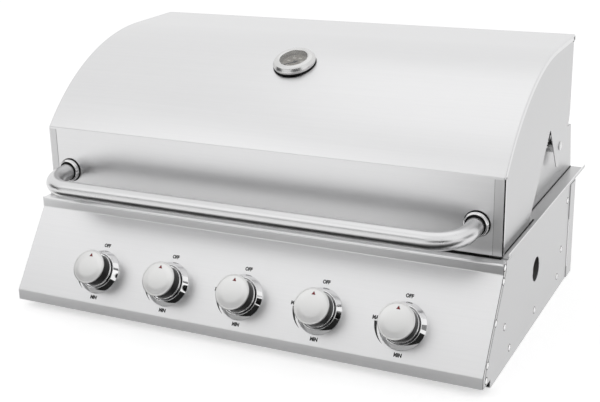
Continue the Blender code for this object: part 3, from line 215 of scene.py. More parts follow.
def revolved(profile, place, out, sides=96, ripple=None):
    """A profile of (radius, height) turned about the axis through a place: P = place + r (cos t e1 + sin t e2) + h out.
    A ripple changes the radius with the angle."""
    out = np.asarray(Vector(out).normalized())
    first = np.array((1.0, 0.0, 0.0)) if abs(out[0]) < 0.9 else np.array((0.0, 0.0, 1.0))
    first = first - out * (first @ out)
    first /= np.linalg.norm(first)
    second = np.cross(out, first)
    profile = np.asarray(profile, float)
    angle = np.linspace(0, TAU, sides, endpoint=False)
    radius = profile[:, :1] * np.ones_like(angle)
    if ripple is not None:
        radius = radius + ripple(profile[:, 1:], angle) * (profile[:, :1] > 0)
    spokes = np.cos(angle)[:, None] * first + np.sin(angle)[:, None] * second
    points = np.asarray(place, float) + radius[..., None] * spokes + profile[:, 1, None, None] * out
    return grid_surface(points, close_columns=True)


def tube(line, radius, side_axis, sides=48):
    """A round tube along a flat curve: P = C(s) + r (cos t N(s) + sin t B), with B square to the curve's plane.
    A last ring of no radius closes each end."""
    line = np.asarray(line, float)
    ahead = np.gradient(line, axis=0)
    ahead /= np.linalg.norm(ahead, axis=1)[:, None]
    side = np.asarray(side_axis, float)
    normal = np.cross(side, ahead)
    angle = np.linspace(0, TAU, sides, endpoint=False)
    ring = np.cos(angle)[None, :, None] * normal[:, None] + np.sin(angle)[None, :, None] * side
    reach = np.full(len(line) + 2, radius)
    reach[[0, -1]] = 0
    line = np.vstack([line[:1], line, line[-1:]])
    ring = np.concatenate([ring[:1], ring, ring[-1:]])
    return grid_surface(line[:, None] + reach[:, None, None] * ring, close_columns=True)


def extruded_line(line, across):
    """A line in the side view carried along X: P = (x, y(s), z(s))."""
    points = np.empty((len(line), len(across), 3))
    points[..., 0] = np.asarray(across)[None, :]
    points[..., 1:] = np.asarray(line)[:, None]
    return grid_surface(points)


def prism(outline, low, high, place=(0, 0, 0), right=(1, 0, 0), up=(0, 1, 0)):
    """A closed outline in the plane of right and up, carried out of it from one height to another, with both ends
    closed: P = place + a right + b up + h (right x up)."""
    outline, right, up = (np.asarray(value, float) for value in (outline, right, up))
    flat = np.asarray(place, float) + outline[:, :1] * right + outline[:, 1:] * up
    return capped(np.stack([flat + height * np.cross(right, up) for height in (low, high)]))


def slab(one, two):
    """A box between two corners."""
    return prism([(one[0], one[1]), (two[0], one[1]), (two[0], two[1]), (one[0], two[1])], one[2], two[2])


def strip_between(inner, outer, x_low, x_high):
    """A flat strip between two lines of the side view, with a thickness along X: a ring of four corners carried
    along the lines, with both ends closed."""
    points = np.empty((len(inner), 4, 3))
    points[:, :2, 1:] = inner[:, None]
    points[:, 2:, 1:] = outer[:, None]
    points[..., 0] = np.array((x_low, x_high, x_high, x_low))
    return capped(points)


def plate_with_hole(low, high, middle, radius, count=8, rings=4):
    """A rectangle with a round hole: rays from the hole's middle to points spaced along the rectangle's edge, with
    each ray running from the circle to the edge. The points are (across, up)."""
    share = np.arange(count) / count
    one = np.ones(count)
    across = low[0] + (high[0] - low[0]) * np.concatenate([share, one, 1 - share, 0 * one])
    up = low[1] + (high[1] - low[1]) * np.concatenate([0 * one, share, one, 1 - share])
    edge = np.stack([across, up], -1)
    away = edge - middle
    circle = middle + radius * away / np.linalg.norm(away, axis=1)[:, None]
    blend = np.linspace(0, 1, rings + 1)[:, None, None]
    return circle + (edge - circle) * blend


def together(surfaces):
    """Several surfaces as one list of vertices and one of faces."""
    faces = []
    count = 0
    for points, polygons in surfaces:
        faces.extend([int(corner) + count for corner in face] for face in polygons)
        count += len(points)
    return np.vstack([points for points, _ in surfaces]), faces


def lettering(words, size, place, right, up):
    """Words as a thin raised print, lying in the plane of right and up, with their middle at the place."""
    curve = bpy.data.curves.new("print", "FONT")
    curve.body = words
    curve.size = size / CAPITAL_SHARE
    curve.align_x = curve.align_y = "CENTER"
    curve.extrude = 0.00004
    curve.offset = 0.08 * size
    curve.resolution_u = 3
    holder = bpy.data.objects.new("print", curve)
    bpy.context.scene.collection.objects.link(holder)
    bpy.context.view_layer.update()
    mesh = bpy.data.meshes.new_from_object(holder)
    right, up = Vector(right).normalized(), Vector(up).normalized()
    matrix = Matrix((right * LETTER_SQUEEZE, up, right.cross(up))).transposed().to_4x4()
    mesh.transform(Matrix.Translation(place) @ matrix)
    vertices = np.array([vertex.co[:] for vertex in mesh.vertices])
    faces = [list(polygon.vertices) for polygon in mesh.polygons]
    bpy.data.objects.remove(holder)
    bpy.data.curves.remove(curve)
    bpy.data.meshes.remove(mesh)
    return vertices, faces


def piece(name, surface, look, body, inside=None, thickness=0.0, sharp=35, replaces=()):
    """Puts a surface into an object that rides on a body. A closed surface turns its faces outwards, and an open one
    turns them away from the inside point before it gets its thickness. Free edges count as sharp, so that the rim
    which the thickness adds doesn't bend the shading of the sheet."""
    vertices, faces = surface
    mesh = bpy.data.meshes.new(name)
    mesh.from_pydata(np.asarray(vertices).tolist(), [], [list(map(int, face)) for face in faces])
    shape = bmesh.new()
    shape.from_mesh(mesh)
    bmesh.ops.remove_doubles(shape, verts=shape.verts, dist=1e-6)
    bmesh.ops.recalc_face_normals(shape, faces=shape.faces)
    if inside is not None:
        inside = Vector(inside)
        turn = sum(face.normal.dot(face.calc_center_median() - inside) * face.calc_area() for face in shape.faces)
        if turn < 0:
            bmesh.ops.reverse_faces(shape, faces=shape.faces)
    shape.to_mesh(mesh)
    shape.free()
    mesh.shade_smooth()
    mesh.set_sharp_from_angle(angle=math.radians(sharp))
    edge_of_corner = np.empty(len(mesh.loops), np.int32)
    mesh.loops.foreach_get("edge_index", edge_of_corner)
    creased = np.empty(len(mesh.edges), bool)
    mesh.edges.foreach_get("use_edge_sharp", creased)
    creased |= np.bincount(edge_of_corner, minlength=len(mesh.edges)) == 1
    mesh.edges.foreach_set("use_edge_sharp", creased)
    mesh.materials.append(finish(look))
    made = bpy.data.objects.new(name, mesh)
    bpy.context.scene.collection.objects.link(made)
    if thickness:
        wall = made.modifiers.new("Sheet thickness", "SOLIDIFY")
        wall.thickness = thickness
        wall.offset = -1
        wall.use_even_offset = True
    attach(made, body)
    if replaces:
        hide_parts(*replaces)
    return made


# Finishes


def node(tree, kind, **settings):
    """A node with its properties and constant inputs set."""
    made = tree.nodes.new(kind)
    for key, value in settings.items():
        if key.startswith("in_"):
            made.inputs[int(key[3:])].default_value = value
        else:
            setattr(made, key, value)
    return made


def wire(tree, *pairs):
    """Links pairs of sockets."""
    for source, target in pairs:
        tree.links.new(source, target)


def noise_pair(name, output, noises, kind, first, **settings):
    """A node group that reads two noises, each of a scale, detail and roughness, at one position, and puts them
    together in a last node from its first input on. It is made once and found again by its name."""
    if name in bpy.data.node_groups:
        return bpy.data.node_groups[name]
    group = bpy.data.node_groups.new(name, "ShaderNodeTree")
    group.interface.new_socket(name="Position", in_out="INPUT", socket_type="NodeSocketVector")
    group.interface.new_socket(name=output, in_out="OUTPUT", socket_type="NodeSocketFloat")
    enter, leave = node(group, "NodeGroupInput"), node(group, "NodeGroupOutput")
    last = node(group, kind, **settings)
    for index, (scale, detail, roughness) in enumerate(noises):
        noise = node(group, "ShaderNodeTexNoise", in_2=scale, in_3=detail, in_4=roughness)
        wire(group, (enter.outputs[0], noise.inputs["Vector"]), (noise.outputs[0], last.inputs[first + index]))
    wire(group, (last.outputs[0], leave.inputs[0]))
    return group


def brushing():
    """Long fine scratches: two noises read from a position that is stretched along the scratches, and blended."""
    return noise_pair("Brushing", "Streaks", ((1.0, 3.0, 0.6), (0.23, 2.0, 0.5)), "ShaderNodeMix", 2, in_0=0.4)


def handling():
    """Soft patches where the surface was wiped and touched: one wide noise and one narrow one, multiplied."""
    noises = ((7.0, 3.0, 0.5), (41.0, 2.0, 0.6))
    return noise_pair("Handling marks", "Patches", noises, "ShaderNodeMath", 0, operation="MULTIPLY")


def effect(tree, group, position):
    """Places a node group in a material, reads it at a position and gives its output."""
    made = node(tree, "ShaderNodeGroup", node_tree=group)
    wire(tree, (position, made.inputs[0]))
    return made.outputs[0]


def blank(name, metallic=0.0, roughness=0.5):
    """A new material with its shader and the piece's own position."""
    made = bpy.data.materials.new(name)
    made.use_nodes = True
    tree = made.node_tree
    shader = tree.nodes["Principled BSDF"]
    shader.inputs["Metallic"].default_value = metallic
    shader.inputs["Roughness"].default_value = roughness
    position = node(tree, "ShaderNodeTexCoord").outputs["Object"]
    return made, tree, shader, position


def between(tree, factor, low, high, target):
    """Feeds a socket with a value or colour that runs from low to high with a factor."""
    if isinstance(low, (int, float)):
        blend = node(tree, "ShaderNodeMapRange", in_3=low, in_4=high)
        wire(tree, (factor, blend.inputs[0]), (blend.outputs[0], target))
    else:
        blend = node(tree, "ShaderNodeMix", data_type="RGBA", in_6=(*low, 1), in_7=(*high, 1))
        wire(tree, (factor, blend.inputs[0]), (blend.outputs[2], target))


def shaded(tone, share):
    """A colour made lighter or darker, kept under 1."""
    return tuple(min(channel * share, 1.0) for channel in tone)


def raised(tree, shader, height, strength, distance):
    """A bump from a height."""
    bump = node(tree, "ShaderNodeBump")
    bump.inputs["Strength"].default_value = strength
    bump.inputs["Distance"].default_value = distance
    wire(tree, (height, bump.inputs["Height"]), (bump.outputs["Normal"], shader.inputs["Normal"]))


def brushed_steel(name, tone, roughness, along, grain=0.12, tint=0.05):
    """Sheet steel with scratches along one axis, whose gloss and tone change a little with them."""
    made, tree, shader, position = blank(name, metallic=1.0)
    stretch = [SCRATCHES_ACROSS] * 3
    stretch["XYZ".index(along)] = SCRATCHES_ALONG
    mapping = node(tree, "ShaderNodeMapping")
    mapping.inputs["Scale"].default_value = stretch
    wire(tree, (position, mapping.inputs["Vector"]))
    scratches = effect(tree, brushing(), mapping.outputs[0])
    mixed = node(tree, "ShaderNodeMath", operation="MULTIPLY_ADD", in_1=0.35)
    wire(tree, (effect(tree, handling(), position), mixed.inputs[0]), (scratches, mixed.inputs[2]))
    between(tree, mixed.outputs[0], shaded(tone, 1 - tint), shaded(tone, 1 + tint), shader.inputs["Base Color"])
    between(tree, mixed.outputs[0], roughness - grain / 2, roughness + grain / 2, shader.inputs["Roughness"])
    raised(tree, shader, scratches, 0.06, 0.0002)
    return made


def bright_metal(name, tone, roughness, wear=1.0):
    """Polished metal with faint marks."""
    made, tree, shader, position = blank(name, metallic=1.0)
    patches = effect(tree, handling(), position)
    dark, light = shaded(tone, 1 - 0.03 * wear), shaded(tone, 1 + 0.02 * wear)
    between(tree, patches, dark, light, shader.inputs["Base Color"])
    between(tree, patches, roughness * (1 - 0.3 * wear), roughness * (1 + 0.6 * wear), shader.inputs["Roughness"])
    return made


def grained(name, tone, roughness, grain_size, depth, gloss=0.5, metallic=0.0):
    """A surface with a fine even grain, such as cast iron, moulded plastic or paint."""
    made, tree, shader, position = blank(name, metallic=metallic)
    shader.inputs["Specular IOR Level"].default_value = gloss
    grain = node(tree, "ShaderNodeTexNoise", in_2=1 / grain_size, in_3=4.0, in_4=0.6)
    wire(tree, (position, grain.inputs["Vector"]))
    patches = effect(tree, handling(), position)
    between(tree, grain.outputs[0], shaded(tone, 0.85), shaded(tone, 1.15), shader.inputs["Base Color"])
    between(tree, patches, roughness * 0.85, roughness * 1.25, shader.inputs["Roughness"])
    raised(tree, shader, grain.outputs[0], 0.3, depth)
    return made


def ported_steel(name, tone, middle_z):
    """Dull steel with a row of flame ports painted as dark dots of shade at an even pitch along Y, in a narrow band of
    height.
    """
    made, tree, shader, position = blank(name, metallic=1.0, roughness=0.5)
    split = node(tree, "ShaderNodeSeparateXYZ")
    wave = node(tree, "ShaderNodeMath", operation="PINGPONG", in_1=HALF_PORT_PITCH)
    centred = node(tree, "ShaderNodeMath", operation="SUBTRACT", in_1=HALF_PORT_PITCH)
    lift = node(tree, "ShaderNodeMath", operation="SUBTRACT", in_1=middle_z + 0.006)
    point = node(tree, "ShaderNodeCombineXYZ")
    reach = node(tree, "ShaderNodeVectorMath", operation="LENGTH")
    dot = node(tree, "ShaderNodeMath", operation="LESS_THAN", in_1=PORT_RADIUS)
    warm = node(tree, "ShaderNodeMix", data_type="RGBA", in_6=(*tone, 1), in_7=(0.30, 0.22, 0.16, 1))
    # Each port is a near-black dot: painted shade for the inside of a hole that is not cut.
    holes = node(tree, "ShaderNodeMix", data_type="RGBA", in_7=(0.01, 0.01, 0.01, 1))
    heat = effect(tree, handling(), position)
    wire(
        tree,
        (position, split.inputs[0]),
        (split.outputs[1], wave.inputs[0]), (wave.outputs[0], centred.inputs[0]), (centred.outputs[0], point.inputs[0]),
        (split.outputs[2], lift.inputs[0]), (lift.outputs[0], point.inputs[1]),
        (point.outputs[0], reach.inputs[0]), (reach.outputs[1], dot.inputs[0]), (dot.outputs[0], holes.inputs[0]),
        (heat, warm.inputs[0]), (warm.outputs[2], holes.inputs[6]),
        (holes.outputs[2], shader.inputs["Base Color"]),
    )
    between(tree, heat, 0.4, 0.75, shader.inputs["Roughness"])
    return made


def clear_glass(name):
    """Clear flat glass with a faint smear in its gloss."""
    made, tree, shader, position = blank(name, roughness=0.02)
    shader.inputs["Transmission Weight"].default_value = 1.0
    shader.inputs["IOR"].default_value = 1.45
    shader.inputs["Base Color"].default_value = (0.96, 0.97, 0.97, 1)
    between(tree, effect(tree, handling(), position), 0.0, 0.08, shader.inputs["Roughness"])
    return made


FINISHES = {}


def finish(name):
    """A finish by its name, made when it is first asked for, from its maker's table of values."""
    if name in FINISHES:
        return FINISHES[name]
    colours = bpy.context.scene.grill_colours
    steel = tuple(colours.steel)
    dull = tuple(colours.dull_steel)
    tables = {
        brushed_steel: {
            "hood sheet": (steel, 0.30, "X"),
            # The hood end, corner, panel, side, ledge, back and handle tube tones are lit and shaded copies of the one
            # steel: painted light on the panel sheet, painted shade on the others.
            "hood end sheet": (shaded(steel, 0.81), 0.36, "Y"),
            "corner sheet": (shaded(steel, 0.84), 0.34, "Z"),
            "panel sheet": (shaded(steel, 1.10), 0.36, "X"),
            "side sheet": (shaded(steel, 0.80), 0.38, "Y"),
            "ledge sheet": (shaded(steel, 0.74), 0.30, "Y"),
            "back sheet": (shaded(steel, 0.82), 0.40, "X"),
            "handle tube": (shaded(steel, 0.95), 0.28, "X", 0.08),
            "inner sheet": (dull, 0.50, "Y", 0.12, 0.12),
            "lining sheet": (dull, 0.46, "X", 0.12, 0.08),
            "gas pipe": (shaded(dull, 1.3), 0.35, "X"),
            "rack wire": (shaded(steel, 0.85), 0.28, "Y"),
        },
        bright_metal: {
            "chrome": ((0.86, 0.86, 0.865), 0.05),
            "satin ring": ((0.66, 0.66, 0.655), 0.27, 0.3),
            "satin cap": ((0.70, 0.70, 0.695), 0.32, 0.2),
            "screw head": ((0.93, 0.93, 0.93), 0.14),
            "hinge pin": ((0.72, 0.72, 0.72), 0.26),
        },
        grained: {
            "black grip": ((0.008, 0.008, 0.008), 0.42, 0.0009, 0.0001, 0.22),
            "black gasket": ((0.006, 0.006, 0.006), 0.60, 0.0012, 0.0001, 0.15),
            # This grey is a painted shadow line along the inner edge of the hood's corner strips.
            "strip edge": ((0.20, 0.20, 0.20), 0.60, 0.0012, 0.0001, 0.2),
            # This near-black is painted shadow in the joints at the control panel's ends.
            "seam": ((0.07, 0.07, 0.07), 0.60, 0.0012, 0.0001, 0.2),
            "cast iron grate": ((0.035, 0.034, 0.033), 0.55, 0.0016, 0.0004),
            "valve brass": ((0.62, 0.44, 0.18), 0.34, 0.0012, 0.0001, 0.5, 1.0),
            "panel print": (tuple(colours.print_ink), 0.50, 0.0010, 0.00002),
            "knob pointer": (tuple(colours.pointer), 0.40, 0.0010, 0.00002),
            "dial face": (tuple(colours.dial), 0.50, 0.0030, 0.00003),
            "dial print": ((0.80, 0.78, 0.72), 0.50, 0.0010, 0.00001),
        },
        ported_steel: {"burner steel": (shaded(dull, 0.9), 0.066)},
        clear_glass: {"dial glass": ()},
    }
    for maker, table in tables.items():
        if name in table:
            FINISHES[name] = maker(name.capitalize(), *table[name])
    return FINISHES[name]


def dress(object_name, look):
    """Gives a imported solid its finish."""
    target = frame["nodes"][object_name]
    target.data.materials.clear()
    target.data.materials.append(finish(look))


# Pieces


def hood_arc(radius, front, back, count):
    """Points of the hood's curve in the side view, C + r (cos t, sin t), from the front depth to the back one."""
    start = math.pi - math.acos((HOOD_ARC_Y - front) / radius)
    end = math.acos((back - HOOD_ARC_Y) / radius)
    angle = np.linspace(start, end, count)
    return np.stack([HOOD_ARC_Y + radius * np.cos(angle), HOOD_ARC_Z + radius * np.sin(angle)], -1)


def hood_line(bend):
    """The hood's side view: up the front, round its curve, straight over the top and down the back lip."""
    arc = hood_arc(HOOD_ARC_RADIUS, HOOD_LOW.y, HOOD_CREST_Y, 72)
    front = filleted([(HOOD_LOW.y, HOOD_LOW.z), arc[0], arc[1]], [bend])[:-1]
    back = [arc[-1], (HOOD_HIGH.y, HOOD_HIGH.z), (HOOD_HIGH.y, HOOD_HIGH.z - HOOD_BACK_LIP)]
    return np.vstack([front, arc[1:], filleted(back, [bend], steps=5)[1:]])


class GRILL_OT_hood(bpy.types.Operator):
    """Makes the hood's sheet, folded over its ends, and the heat sheet that lines it"""

    bl_idname = "grill.hood"
    bl_label = "Hood"

    def execute(self, context):
        bend = context.scene.grill_sizes.sheet_bend
        line = hood_line(bend)
        ahead = np.gradient(line, axis=0)
        ahead /= np.linalg.norm(ahead, axis=1)[:, None]
        inward = np.stack([ahead[:, 1], -ahead[:, 0]], -1)
        half = HOOD_HIGH.x
        turn = np.linspace(0, math.pi / 2, 7)
        across = np.concatenate([half - bend + bend * np.sin(turn), [half]])
        inset = np.concatenate([bend - bend * np.cos(turn), [HOOD_RIM_BAND]])
        flat = np.linspace(-half + 1.3 * bend, half - 1.3 * bend, 25)
        across = np.concatenate([-across[::-1], flat, across])
        inset = np.concatenate([inset[::-1], 0 * flat, inset])
        points = np.empty((len(line), len(across), 3))
        points[..., 0] = across[None, :]
        points[..., 1:] = line[:, None] + inward[:, None] * inset[None, :, None]
        low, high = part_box("hood_liner")
        lining = hood_arc(HOOD_ARC_RADIUS - LINER_SPACE, low.y, high.y, 96)
        lining = extruded_line(lining, np.linspace(-high.x, high.x, 9))
        for name, surface, look, solid in (
            ("hood_sheet", grid_surface(points), "hood sheet", "hood_skin"),
            ("hood_lining", lining, "lining sheet", "hood_liner"),
        ):
            piece(name, surface, look, "hood", inside=HOOD_INSIDE, thickness=SHEET, replaces=(solid,))
        return {"FINISHED"}


class GRILL_OT_handle(bpy.types.Operator):
    """Makes the tube handle and the two round bases that it stands in"""

    bl_idname = "grill.handle"
    bl_label = "Handle"

    def execute(self, context):
        radius = context.scene.grill_sizes.handle_radius
        low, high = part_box("handle")
        base_low, base_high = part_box("handle_base_right")
        root = Vector((high.x - HANDLE_TUBE, HOOD_LOW.y, (base_low.z + base_high.z) / 2))
        bar = Vector((root.x, low.y + HANDLE_TUBE, low.z + HANDLE_TUBE))
        out = (bar - root).normalized()
        start = root + out * 0.0016
        corners = [start, bar, Vector((-bar.x, bar.y, bar.z)), Vector((-start.x, start.y, start.z))]
        line = filleted(corners, [HANDLE_BEND, HANDLE_BEND], steps=24)
        bent = tube(line, radius, X_AXIS.cross(out))
        piece("handle_tube", bent, "handle tube", "hood", replaces=("handle",))
        ring = filleted(
            [(0.0162, 0.0012), (0.0195, 0.0012), (0.0195, 0.0052), (0.0189, 0.0055), (0.0189, 0.0086), (0.0162, 0.0090),
             (0.0162, 0.0012)],
            [0.0003, 0.0004, 0.0002, 0.0014, 0.0008],
            steps=4,
        )
        # A black ring under each base and a black sleeve in its bore: partly packing, partly painted shadow in the gaps
        # round the tube's foot.
        shadow_washer = filleted([(0.0100, 0.0002), (0.0208, 0.0002), (0.0208, 0.0011), (0.0100, 0.0011)], [0.0003, 0.0003], 3)
        sleeve = filleted([(0.0141, 0.0020), (0.0157, 0.0020), (0.0157, 0.0086), (0.0141, 0.0086)], [0.0003, 0.0004], 3)
        ahead = (0, -1, 0)
        for side, label in SIDES:
            place = (side * root.x, root.y, root.z)
            piece(
                f"handle_base_ring_{label}", revolved(ring, place, ahead), "chrome", "hood",
                replaces=(f"handle_base_{label}",),
            )
            packing = [
                revolved(np.vstack([shadow_washer, shadow_washer[:1]]), place, ahead),
                revolved(np.vstack([sleeve, sleeve[:1]]), place, out),
            ]
            piece(f"handle_base_packing_shade_{label}", together(packing), "black gasket", "hood")
        return {"FINISHED"}


class GRILL_OT_thermometer(bpy.types.Operator):
    """Makes the hood thermometer: gasket, case, probe, dial with its scale, needle and glass"""

    bl_idname = "grill.thermometer"
    bl_label = "Thermometer"

    def execute(self, context):
        joint = JOINTS["thermometer_needle_turn"]
        out = -Vector(joint["axis"])
        place = Vector(joint["pos_m"])
        up = out.cross(X_AXIS)
        gasket = filleted([(0, 0.0003), (0.0368, 0.0003), (0.0368, 0.0014), (0, 0.0014)], [0.0005, 0.0005], steps=3)
        case = filleted(
            [(0, 0.0015), (0.0356, 0.0015), (0.0365, 0.0060), (0.0325, 0.0125), (0.0262, 0.0140), (0.0235, 0.0125),
             (0.0235, 0.0022), (0, 0.0022)],
            [0.0008, 0.0030, 0.0050, 0.0025, 0.0008, 0.0],
            steps=8,
        )
        probe = filleted([(0, -0.0600), (0.0030, -0.0600), (0.0030, 0.0014), (0, 0.0014)], [0.0020, 0.0005], steps=5)
        disc = filleted([(0, 0.0023), (0.0233, 0.0023), (0.0233, DIAL_FACE), (0, DIAL_FACE)], [0.0002, 0.0002], steps=2)
        hub = filleted([(0, 0.0038), (0.0026, 0.0038), (0.0026, 0.0050), (0, 0.0056)], [0.0002, 0.0008], steps=3)
        pane = filleted([(0, 0.0106), (0.0234, 0.0106), (0.0234, 0.0121), (0, 0.0124)], [0.0002, 0.0004], steps=3)
        marks = []
        for index in range(DIAL_MARKS):
            turn = math.radians(215 - DIAL_SWEEP * index / (DIAL_MARKS - 1))
            ray = X_AXIS * math.cos(turn) + up * math.sin(turn)
            major = index % 5 == 0
            width, inner = (0.00040, 0.0170) if major else (0.00022, 0.0185)
            tick = ((inner, -width), (0.0212, -width), (0.0212, width), (inner, width))
            marks.append(prism(tick, DIAL_FACE, DIAL_FACE + 0.00012, place, ray, out.cross(ray)))
            if major:
                spot = place + ray * 0.0128 + out * (DIAL_FACE + 0.00008)
                marks.append(lettering(str(50 + 10 * index), 0.0034, spot, X_AXIS, up))
        for part, surface, look, body, solid, replaced, sharp in (
            ("gasket", revolved(gasket, place, out), "black gasket", "hood", "case", False, 35),
            ("body", revolved(case, place, out, sides=128), "satin ring", "hood", "case", True, 35),
            ("probe", revolved(probe, place, out, sides=40), "screw head", "hood", "case", False, 35),
            ("face", revolved(disc, place, out), "dial face", "hood", "dial", True, 35),
            ("scale", together(marks), "dial print", "hood", "dial", False, 20),
            ("hub", revolved(hub, place, out, sides=40), "black grip", "needle", "needle", False, 35),
            ("pane", revolved(pane, place, out), "dial glass", "hood", "glass", True, 35),
        ):
            slot = f"thermometer_{solid}"
            replaces = (slot,) if replaced else ()
            piece(f"thermometer_{part}", surface, look, body, replaces=replaces, sharp=sharp)
        dress("thermometer_needle", "black grip")
        return {"FINISHED"}


def on_panel(across, up, lift=0.0):
    """Points on the sloping face, by their places across the panel, up the slope and out from it."""
    across, up, lift = (np.asarray(value, float)[..., None] for value in (across, up, lift))
    return np.array((0, LIP_Y, LIP_TOP)) + across * (1, 0, 0) + up * np.array(SLOPE_UP) + lift * np.array(SLOPE_OUT)


class GRILL_OT_control_panel(bpy.types.Operator):
    """Makes the bent front sheet with its five holes, and the words and wedges printed round the knobs"""

    bl_idname = "grill.control_panel"
    bl_label = "Control panel"

    def execute(self, context):
        sizes = context.scene.grill_sizes
        low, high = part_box("control_panel")
        corners = [
            (LIP_Y + 0.018, low.z), (LIP_Y, low.z), (LIP_Y, LIP_TOP), (LIP_Y + SLOPE_RUN, STRIP_FOOT),
            (LIP_Y + SLOPE_RUN, high.z), (high.y, high.z),
        ]
        steps = 6
        line = filleted(corners, [sizes.sheet_bend] * 4, steps=steps)
        cut = 1 + 2 * (steps + 3)
        knobs = [Vector(JOINTS[f"{name}_turn"]["pos_m"]) for name in KNOB_NAMES]
        pitch = knobs[1].x - knobs[0].x
        start, end, rise = (
            (height - LIP_TOP) / SLOPE_UP.z for height in (line[cut - 1][1], line[cut][1], knobs[0].z)
        )
        stations = [low.x]
        patches = []
        for place in knobs:
            left, right = place.x - pitch / 2, place.x + pitch / 2
            stations.extend(np.linspace(left, right, 9)[:-1])
            flat = plate_with_hole((left, start), (right, end), (place.x, rise), STEM_HOLE_RADIUS)
            patches.append(grid_surface(on_panel(flat[..., 0], flat[..., 1]), close_columns=True))
        stations.extend([knobs[-1].x + pitch / 2, high.x])
        for edge in (stations[:2], stations[-2:]):
            patches.append(extruded_line(np.linspace(line[cut - 1], line[cut], 9), edge))
        sheet = together([extruded_line(line[:cut], stations), extruded_line(line[cut:], stations), *patches])
        piece(
            "control_panel_sheet", sheet, "panel sheet", "base", inside=(0, LIP_Y + 0.3, 0.05), thickness=SHEET,
            replaces=("control_panel",),
        )
        marks = []
        share = np.linspace(0, 1, 28)
        angle = np.radians(178.5 + 51 * share)
        inner = WEDGE_RADIUS + 0 * share
        outer = inner + WEDGE_WIDTH * (1 - share) + 0.0002
        reach = np.stack([inner, inner, outer, outer], -1)
        lift = (0.00002, 0.0001, 0.0001, 0.00002)
        for place in knobs:
            for words, across, up in (("OFF", 0.0, 0.0462), ("MIN", 0.0010, -0.0440), ("MAX", -0.0428, 0.0058)):
                spot = Vector(on_panel(place.x + across, rise + up, 0.00006))
                marks.append(lettering(words, sizes.letter_height, spot, X_AXIS, SLOPE_UP))
            across = place.x + reach * np.cos(angle)[:, None]
            marks.append(capped(on_panel(across, rise + reach * np.sin(angle)[:, None], lift)))
        piece("panel_print", together(marks), "panel print", "base", sharp=20)
        return {"FINISHED"}


class GRILL_OT_knobs(bpy.types.Operator):
    """Makes the five knobs, with grip, bright ring, cap and pointer, and the flared rings round them"""

    bl_idname = "grill.knobs"
    bl_label = "Knobs and their rings"

    def execute(self, context):
        ring = context.scene.grill_sizes.bezel_radius
        cap = context.scene.grill_sizes.knob_radius
        bezel = filleted(
            [(0.0292, 0.0004), (ring, 0.0004), (ring, 0.0018), (ring - 0.0004, 0.0026), (0.0308, 0.0100),
             (0.0297, 0.0100), (0.0292, 0.0088), (0.0292, 0.0004)],
            [0.0002, 0.0006, 0.0006, 0.0008, 0.0005, 0.0],
            steps=5,
        )
        grip = filleted(
            [(0.0046, 0.0072), (0.0266, 0.0072), (0.0268, 0.0345), (0.0240, 0.0347), (0.0046, 0.0347)],
            [0.0010, 0.0004, 0.0],
            steps=4,
        )
        grip = np.vstack([grip, grip[:1]])
        collar = filleted(
            [(0.0262, 0.0122), (0.0283, 0.0122), (0.0283, 0.0136), (0.0271, 0.0141), (0.0283, 0.0147), (0.0283, 0.0160),
             (0.0262, 0.0160), (0.0262, 0.0122)],
            [0.0004, 0.0004, 0.0002, 0.0004, 0.0004, 0.0002],
            steps=4,
        )
        dome = filleted(
            [(0, 0.0348), (cap - 0.0006, 0.0348), (cap, 0.0356), (cap - 0.0006, 0.0369), (cap - 0.0024, 0.0373),
             (cap - 0.0028, 0.0370), (0.0180, 0.0381), (0, 0.0388)],
            [0.0002, 0.0006, 0.0008, 0.0003, 0.0003, 0.0500],
            steps=9,
        )

        def fluted(height, angle):
            return -FLUTE_DEPTH * (0.5 - 0.5 * np.cos(GRIP_FLUTES * angle)) * ((height > 0.008) & (height < 0.0340))

        for name in KNOB_NAMES:
            joint = JOINTS[f"{name}_turn"]
            place, out = Vector(joint["pos_m"]), Vector(joint["axis"])
            number = name[5:]
            bezel_shape = revolved(bezel, place, out, sides=128)
            bezel_name = f"knob_bezel_{number}"
            piece(f"knob_ring_{number}", bezel_shape, "chrome", "base", replaces=(bezel_name,))
            grip_shape = revolved(grip, place, out, sides=240, ripple=fluted)
            piece(f"knob_grip_{number}", grip_shape, "black grip", name, replaces=(name,))
            piece(f"knob_collar_{number}", revolved(collar, place, out), "chrome", name)
            piece(f"knob_cap_{number}", revolved(dome, place, out, sides=128), "satin cap", name)
            up = (Vector((0, 0, 1)) - out * out.z).normalized()
            mark = prism(((-0.0034, 0.0172), (0.0034, 0.0172), (0, 0.0228)), 0.0368, 0.0381, place, up.cross(out), up)
            piece(f"knob_pointer_{number}", mark, "knob pointer", name, sharp=20)
            dress(f"valve_stem_{number}", "valve brass")
        return {"FINISHED"}


